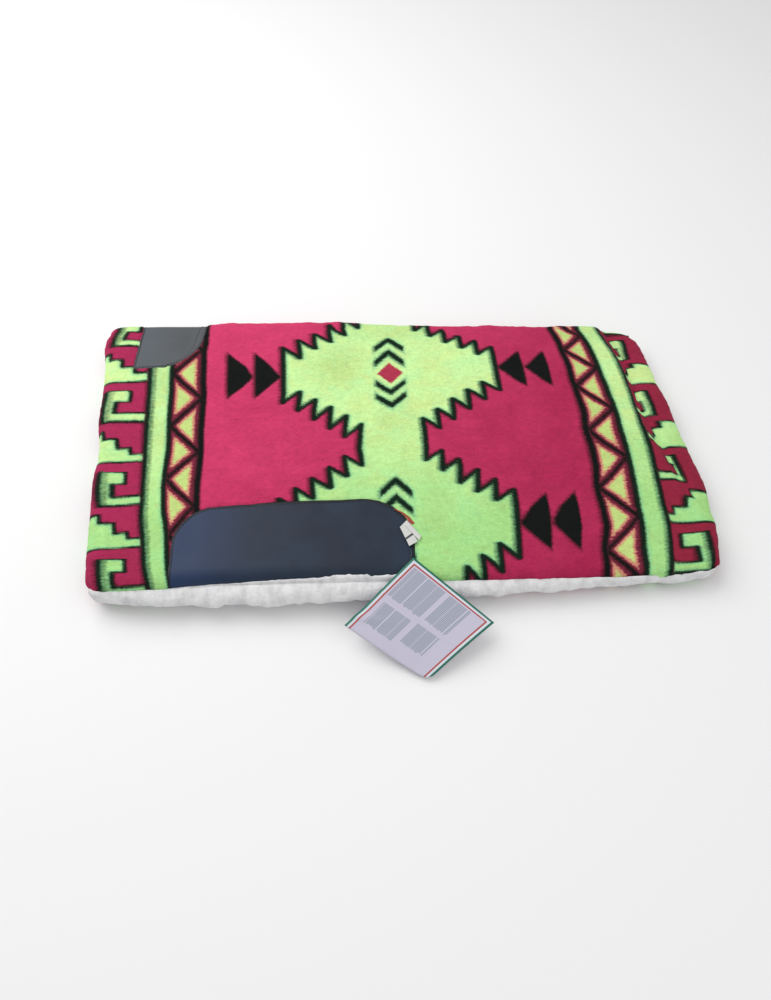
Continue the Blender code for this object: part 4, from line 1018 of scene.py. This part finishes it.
# how far the near half's fleece laps over the hem, as (x, length); from where to where along x its
# grid runs and how far behind the hem it starts; its height, and how much it lifts the nose, both
# reached at the length "full"; how ragged its edge is; how far it leans and how high its lumps are,
# as (height, width); and how deep it is sunk behind the hem and elsewhere, and how thick it is
lap = {"table": [(-0.310, 0.0), (-0.265, 0.0001), (-0.20, 0.0010), (-0.14, 0.0024), (-0.10, 0.0034),
                 (-0.065, 0.0052), (-0.03, 0.0060), (0.03, 0.0050), (0.055, 0.0)],
       "span": (-0.300, 0.055), "back": 0.0060, "lift": 0.0036, "nose": 0.0014, "full": 0.003,
       "ragged": 0.26, "lean": (0.0010, 0.010), "lumps": (0.0005, 0.0042), "sunk": 0.0048,
       "level": 0.0006, "thick": 0.0008}
# steps of the grid and its inset; curls of the inner face as (height, width) and lumps of the nose
# as (height, width, how much finer along x); how uneven the overhang and the lip are, as (share,
# width); the lip's height and the nose's at its tip; how far the nose wanders up and down, as
# (height, width); the gap below the cover; how far the rim bulges; and the least thickness
fleeceParts = {"across": 0.0032, "down": 0.0036, "inset": 0.0012,
               "curls": ((0.0008, 0.0055), (0.0012, 0.014)),
               "lumps": ((0.0008, 0.0075, 1.6), (0.0010, 0.017, 1.0)),
               "hemUneven": ((0.13, 0.022), (0.08, 0.008)), "lipUneven": ((0.7, 0.012), (0.4, 0.005)),
               "lip": 0.0012, "tip": 0.0005, "wander": (0.0016, 0.030), "gap": 0.0006, "rim": 0.0006,
               "thinnest": 0.0010}
# from where to where along x and upward; how far its top stays below the cover's inner face; y of the
# face toward the pad, with its lumps as (height, width); how far its back stays inside the cover's
# inner face; and its least depth
stripParts = {"span": (-0.380, 0.345), "low": 0.0130, "high": 0.0342, "below": 0.0014, "face": 0.1988,
              "lumps": (0.0004, 0.006), "inside": 0.0020, "shallowest": 0.0016}


# fleece lining of one half: lumpy where it meets the other half, and past the hem a soft nose
# that rises round the cover's edge; its outline is a quarter ellipse from the lip to the middle
def makeFleece(side):
    part, sign, seed = fleeceParts, halves[side]["sign"], halves[side]["fleeceSeed"]
    x, y = planGrid(part["across"], part["down"], part["inset"])
    toEnd, toHem = toEdges(x, y)
    level = fullThickness(side, x, y) * rollShare(toEnd, toHem)
    middle = middlePlane(x, y)
    planX, planY = drawnIn(x, y)
    past = np.array([0.05, 0.10, 0.18, 0.28, 0.40, 0.52, 0.64, 0.76, 0.87, 0.95, 1.0])
    hemX, hemY = planX[-1], planY[-1]
    width = tableAt(overhang, hemX) * unevenLine(hemX, part["hemUneven"], 61)
    outward = np.gradient(np.stack([hemX, hemY], -1), axis=0)
    outward = np.stack([outward[:, 1], -outward[:, 0]], -1)
    outward /= np.linalg.norm(outward, axis=1)[:, None]
    noseX = hemX + outward[:, 0] * width * past[:, None] * 0.8
    noseY = hemY + outward[:, 1] * width * past[:, None]
    lip = level[-1] + part["lip"] * unevenLine(hemX, part["lipUneven"], seed + 5)
    if side == "near":
        lip = lip + lap["nose"] * np.minimum(1, tableAt(lap["table"], hemX) / lap["full"])
    ellipse = np.sqrt(np.maximum(0, 1 - np.clip((past - 0.1) / 0.9, 0, 1) ** 2))
    high, wide = part["wander"]
    wander = high * lineNoise(noseX, wide, 66) * past[:, None]
    noseUp = part["tip"] + (lip - part["tip"])[None] * ellipse[:, None]
    gx, gy = np.concatenate([planX, noseX]), np.concatenate([planY, noseY])
    curl = sum(high * (1 + softNoise(gx, gy, wide, seed + k))
               for k, (high, wide) in enumerate(part["curls"])) / 2
    lower = 0.0002 + 0.6 * curl
    lower[:len(planY)] += 0.0050 * smooth(1 - (pad["hingeY"] - planY) / 0.008) ** 2
    lower[len(planY):] *= (1 - past)[:, None]
    upper = np.concatenate([level - pad["cover"] - part["gap"], noseUp])
    upper = np.maximum(upper, lower + part["thinnest"])
    lumps = sum(high * softNoise(gx * along, gy + upper, wide, seed + 2 + k)
                for k, (high, wide, along) in enumerate(part["lumps"]))
    centre = np.concatenate([middle, np.repeat(middle[-1:], len(past), 0) + wander])
    skinUp = np.stack([gx, gy, centre + sign * upper], -1)
    skinLow = np.stack([gx, gy, centre + sign * lower], -1)
    face = np.zeros(gx.shape)
    face[len(planY) + 1:] = lumps[len(planY) + 1:] * np.minimum(1, 4 * (1 - past[1:]))[:, None]
    skinUp = raised(skinUp, face, sign)
    bulge = np.full(gx.shape, part["rim"])
    bulge[[0, -1]] = 0
    points, faces, *_ = closedShell(skinUp, skinLow, bulge, 3)
    piece = makePiece("fleeceLining" + side.capitalize(), points, [faces], "fleece")
    return piece


# fleece behind the fold's strip, between the two hinge lines, and under the cover where that is
# lower at the rear
def makeFleeceStrip():
    part = stripParts
    x, share = np.meshgrid(np.linspace(*part["span"], 220), np.linspace(0, 1, 12))
    fold = np.full(x.shape, pad["hingeY"])
    coverTop = middlePlane(x, fold) + fullThickness("near", x, fold) * rollShare(toEdges(x, fold)[0], 1.0)
    top = np.minimum(part["high"], coverTop - pad["cover"] - part["below"])
    z = part["low"] + (top - part["low"]) * share
    depth = np.maximum(tableAt(foldDepth, x) - pad["cover"] - part["inside"], part["shallowest"])
    high, wide = part["lumps"]
    front = np.stack([x, part["face"] + high * (1 + softNoise(x, z, wide, 81)), z], -1)
    back = np.stack([x, pad["hingeY"] + depth, z], -1)
    points, faces, *_ = closedShell(front, back, np.zeros(x.shape), 1)
    piece = makePiece("fleeceStrip", points, [faces], "fleece")
    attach(piece, "spine")
    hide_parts("core_spine")


for side in halves:
    fleece = makeFleece(side)
    acrossFold(fleece)
    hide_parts("fleece_" + side, "core_" + side)
makeFleeceStrip()


# fleece that laps over the hem: a grid whose rows run from the nose over the hem and whose edge is
# ragged by two noises; its height over the leather is a quarter ellipse toward that edge
def makeFleeceLap():
    a, x = np.meshgrid(np.linspace(0, 1, 16), np.linspace(*lap["span"], 330), indexing="ij")
    edge = x[-1]
    ragged = 1 + lap["ragged"] * (lineNoise(edge, 0.0160, 101) + 0.5 * lineNoise(edge, 0.0045, 102))
    reach = tableAt(lap["table"], edge) * ragged
    high, wide = lap["lean"]
    lean = high * lineNoise(edge, wide, 103)
    s = clothLength(pad["hemY"]) + lap["back"] - a * (lap["back"] + reach)
    ellipse = np.sqrt(np.maximum(0, 1 - a ** 2))
    height = lap["lift"] * ellipse * np.minimum(1, reach / lap["full"]) * smooth(a / 0.45)
    high, wide = lap["lumps"]
    height = height + high * softNoise(x, s, wide, 104) * (1 - a ** 4) * smooth(a / 0.4)
    sunk = lap["level"] + lap["sunk"] * (1 - smooth(a / 0.5))
    outer = padPoint("near", x + lean * a, s, sunk - height)
    inner = padPoint("near", x + lean * a, s, sunk + lap["thick"])
    points, faces, *_ = closedShell(outer, inner, np.full(x.shape, 0.0002), 2)
    piece = makePiece("fleeceLap", points, [faces], "fleece")
    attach(piece, "near_side")


makeFleeceLap()
print("fleece made")


# length along the cloth of the free edge, and of the far edge
def leatherLength(leather):
    far = clothLength(pad["hemY"]) + leather["past"] if leather["toHem"] == 1 else 0.0
    return clothLength(leather["edge"]), far


# how far and over what width a leather's edge drops; its wrinkles as (height, width); depth and width
# of the groove along the stitches; how much deeper than its thickness its inner face lies; and how
# far its rim bulges
leatherParts = {"drop": 0.0007, "dropWidth": 0.0016, "wrinkles": ((0.00045, 0.040), (0.00010, 0.012)),
                "groove": 0.00025, "grooveWidth": 0.0012, "gap": 0.0003, "rim": 0.0002}
# a stitch: its length as a share of the pitch; how high its thread stands and its radius at points
# along it; how deep the row is sunk; and the least radius of the row's corners
stitchParts = {"length": 0.76, "lift": (-0.0006, 0.0, 0.00025, 0.0, -0.0006),
               "radii": (0.00022, 0.00036, 0.00040, 0.00036, 0.00022), "sunk": 0.0002, "corner": 0.0006}


# a wear leather: a grid over its rectangle whose two free corners are drawn onto circles. It
# lies just under the pile, its cut edge rounds down, and the stitch line pulls a shallow dip
def makeLeather(name, leather, side, look):
    part = leatherParts
    free, far = leatherLength(leather)
    a, b = np.meshgrid(np.linspace(0, 1, 130), np.linspace(0, 1, 60))
    front, rear = leatherSides(leather, b * abs(far - free))
    width = rear - front
    px, py = a * width, b * abs(far - free)             # py is the distance in from the free edge
    atFront = a < cornerSplit(leather)
    r = np.where(atFront, *leather["radii"])
    toSide = np.where(atFront, px, width - px)
    p, q = np.clip(1 - toSide / r, 0, 1), np.clip(1 - py / r, 0, 1)
    drawnX, drawnY = drawnCorner(p, q)
    px, py = px + np.where(atFront, 1, -1) * r * drawnX, py + r * drawnY
    x = front + px
    nearFree = clothLength(freeEdge(leather, x))
    s = nearFree + (far - nearFree) * py / abs(far - free)
    inward = np.maximum(-leatherDistance(leather, x, clothLength(s)), 0)
    edgeDrop = part["drop"] * (1 - np.sqrt(1 - (1 - np.clip(inward / part["dropWidth"], 0, 1)) ** 2))
    wrinkle = sum(high * softNoise(x, s, wide, 91 + k) for k, (high, wide) in enumerate(part["wrinkles"]))
    dip = part["groove"] * np.exp(-((inward - leather["inset"]) / part["grooveWidth"]) ** 2)
    outer = padPoint(side, x, s, leather["sink"] + edgeDrop - wrinkle + dip)
    inner = padPoint(side, x, s, leather["sink"] + leather["thick"] + part["gap"])
    points, faces, *_ = closedShell(outer, inner, np.full(a.shape, part["rim"]), 2)
    piece = makePiece(name, points, [faces], look)
    edge = np.zeros((len(points), 3))
    edge[:2 * a.size, 0] = np.tile(1000 * inward.reshape(-1), 2)
    setVectors(piece, "edge", edge)
    return piece


# a row of lockstitches inside the leather's edge: the path is the outline set in, and each
# stitch a short tube that dips into the leather at both ends
def makeStitches(name, leather, side):
    part = stitchParts
    free, far = leatherLength(leather)
    inset, depth = leather["inset"], abs(far - free)
    (front, rear), (frontFar, rearFar) = (leatherSides(leather, d) for d in (0.0, depth))
    x0, x1 = front + inset, rear - inset
    r0, r1 = (max(r - inset, part["corner"]) for r in leather["radii"])
    arc = np.linspace(0, math.pi / 2, 14)
    line = np.concatenate([
        [(frontFar + inset, depth)],
        np.stack([x0 + r0 - r0 * np.cos(arc), inset + r0 - r0 * np.sin(arc)], 1),
        np.stack([x1 - r1 + r1 * np.sin(arc), inset + r1 - r1 * np.cos(arc)], 1),
        [(rearFar - inset, depth)]])
    run = runLength(line)
    middles = np.arange(leather["pitch"], run[-1] - leather["pitch"], leather["pitch"])
    across = np.linspace(-0.5, 0.5, len(part["lift"])) * part["length"] * leather["pitch"]
    where = middles[:, None] + across[None]
    x, d = np.interp(where, run, line[:, 0]), np.interp(where, run, line[:, 1])
    # a stitch that runs past either end of the cloth is left out, as cut off there it has no length
    s = clothLength(freeEdge(leather, x)) + leather["toHem"] * d
    whole = ((s >= 0) & (s <= max(free, far))).all(1)
    x, s = x[whole], s[whole]
    paths = padPoint(side, x, s, leather["sink"] + part["sunk"] - np.array(part["lift"])[None] + x * 0)
    radii = np.array(part["radii"])[None] + x * 0
    points, faceSets = tubes(paths, radii, 5)
    return makePiece(name, points, faceSets, "stitch")


for side in halves:
    title, body = side.capitalize(), halves[side]["body"]
    leather = makeLeather("sideLeather" + title, sideLeather, side, "sideLeather")
    stitches = makeStitches("sideStitches" + title, sideLeather, side)
    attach(leather, body)
    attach(stitches, body)
    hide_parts("side_leather_" + side)
    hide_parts("side_stitching_" + side)
    leather = makeLeather("witherLeather" + title, witherLeather, side, "witherLeather")
    stitches = makeStitches("witherStitches" + title, witherLeather, side)
    acrossFold(leather)
    acrossFold(stitches)
    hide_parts("wither_leather_" + side, "wither_leather_bend_" + side,
                *(["wither_leather_spine"] if side == "near" else []))
    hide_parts("wither_stitching_" + side)
print("leathers made")


# from where to where along x and with how many turns; its depth as a share of the cover's thickness,
# how far it stands past the hem, how far it swings up and down, and the yarn's radius
seamParts = {"span": (-0.352, 0.362), "turns": 620, "sink": 0.55, "past": 0.0006, "swing": 0.0008,
             "radius": 0.0005}


# overlock yarn along the cover's raw edge, behind the fleece's lip: a zigzag tube
def makeHemSeam(side):
    part = seamParts
    x = np.linspace(*part["span"], part["turns"])
    path = padPoint(side, x, clothLength(pad["hemY"]) + x * 0, pad["cover"] * part["sink"])
    path[:, 1] -= part["past"]
    path[:, 2] += halves[side]["sign"] * part["swing"] * np.where(np.arange(len(x)) % 2 == 0, 1, -1)
    points, faceSets = tubes(path[None], np.full((1, len(x)), part["radius"]), 5)
    piece = makePiece("hemSeam" + side.capitalize(), points, faceSets, "seam")
    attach(piece, side + "_side")
    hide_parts("hem_seam_" + side)


for side in halves:
    makeHemSeam(side)


labelParts = {"sewn": ((-0.0005, -0.1291), (0.0082, -0.1198)), "level": 0.0462, "thick": 0.00025,
              "under": ((0.0094, -0.1560), (0.0200, -0.1500)), "over": ((0.0218, -0.1490), (0.0243, -0.1430)),
              "overSewn": ((0.0040, -0.1250), (0.0082, -0.1198)), "curl": 0.0012, "lift": 0.0007}


# folded satin label, sewn in at the leather's edge: two faces, each a sheet between its sewn
# edge and its free edge with a slight curl
def makeLabel():
    part = labelParts
    a, b = np.meshgrid(np.linspace(0, 1, 30), np.linspace(0, 1, 14))
    pointSets, faceSets, flat, start = [], [], [], 0
    for sewn, free, height in ((part["sewn"], part["under"], 0.0),
                               (part["overSewn"], part["over"], part["lift"])):
        s0, s1, f0, f1 = (np.array(p) for p in (*sewn, *free))
        plan = blendFour(s0, s1, f0, f1, b[..., None], a[..., None])
        z = part["level"] + height * smooth(a / 0.2) + part["curl"] * a ** 2 * 0.6 * (1 + 0.5 * np.sin(3 * b))
        top = np.stack([plan[..., 0], plan[..., 1], z + part["thick"]], -1)
        points, faces, *_ = closedShell(top, top - np.array([0, 0, part["thick"]]), np.zeros(a.shape), 1)
        pointSets.append(points)
        faceSets.append(faces + start)
        start += len(points)
        uv = np.stack([a, b], -1).reshape(-1, 2)
        if height > 0:
            uv = uv * np.array([0.0, 1.0])               # the upper face is plain
        flat.append(np.concatenate([uv, uv, np.zeros((len(points) - 2 * len(uv), 2))]))
    piece = makePiece("careLabel", np.concatenate(pointSets), faceSets, "satin")
    setUv(piece, "label", np.concatenate(flat))
    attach(piece, "label")
    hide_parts("care_label")


makeLabel()


ribbonParts = {"line": ((-0.0060, -0.1035), (0.0035, -0.1088), (0.0105, -0.1160), (0.0165, -0.1245)),
               "width": (0.0012, 0.0018, 0.0034, 0.0030), "level": 0.0459, "thick": 0.0005,
               "round": 0.0004, "rim": 0.0001}


# end of the ribbon that shows along the leather's corner: a ruled strip that widens
def makeRibbon():
    part = ribbonParts
    line, width = np.array(part["line"]), np.array(part["width"])
    t = np.linspace(0, len(line) - 1, 24)
    middle = np.stack([np.interp(t, range(len(line)), line[:, k]) for k in (0, 1)], 1)
    wide = np.interp(t, range(len(line)), width)
    along = np.gradient(middle, axis=0)
    along /= np.linalg.norm(along, axis=1)[:, None]
    across = np.stack([-along[:, 1], along[:, 0]], 1)
    share = np.linspace(-0.5, 0.5, 6)
    plan = middle[None] + across[None] * wide[None, :, None] * share[:, None, None]
    top = np.concatenate([plan, np.full(plan.shape[:2] + (1,), part["level"] + part["thick"])], -1)
    top[..., 2] -= part["round"] * np.abs(share * 2)[:, None] ** 2
    under = top - np.array([0, 0, part["thick"]])
    points, faces, *_ = closedShell(top, under, np.full(top.shape[:2], part["rim"]), 2)
    piece = makePiece("ribbonTab", points, [faces], "ribbon")
    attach(piece, "near_side")
    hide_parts("ribbon_tab")


makeRibbon()
print("label and ribbon made")


# floor and light
stageParts = {"floor": "#F4F4F4", "half": 4, "below": 0.0004, "world": 0.55, "aim": (0, 0, 0.03),
              "lamps": {"keyLight": ((-0.9, 0.7, 1.5), 22.0, 1.6), "fillLight": ((1.0, -1.0, 1.6), 8.0, 2.0)}}


# a square floor, a white world and two square lamps, given as (place, power, size), that face the aim
def makeStage():
    mesh, half = bpy.data.meshes.new("floor"), stageParts["half"]
    mesh.from_pydata([(-half, -half, 0), (half, -half, 0), (half, half, 0), (-half, half, 0)], [],
                     [(0, 1, 2, 3)])
    mesh.transform(Matrix.Translation((0, 0, -stageParts["below"])))
    floor = bpy.data.objects.new("floor", mesh)
    scene.collection.objects.link(floor)
    material, _ = newMaterial("paintedPaleFloor", {"Roughness": 0.9, "Specular IOR Level": 0.1,
                                                   "Base Color": srgb(stageParts["floor"])})
    mesh.materials.append(material)
    world = bpy.data.worlds.new("softRoom")
    world.use_nodes = True
    background = world.node_tree.nodes["Background"]
    background.inputs["Color"].default_value = (1, 1, 1, 1)
    background.inputs["Strength"].default_value = stageParts["world"]
    scene.world = world
    for name, (place, power, size) in stageParts["lamps"].items():
        lamp = bpy.data.lights.new(name, "AREA")
        lamp.energy, lamp.size = power, size
        holder = bpy.data.objects.new(name, lamp)
        direction = np.array(stageParts["aim"]) - np.array(place)
        direction = direction / np.linalg.norm(direction)
        side = np.cross([0, 0, 1], -direction)
        side /= np.linalg.norm(side)
        up = np.cross(-direction, side)
        holder.matrix_world = standing(np.column_stack([side, up, -direction]), place)
        scene.collection.objects.link(holder)


makeStage()
scene.view_settings.view_transform = "Standard"
print("stage made")
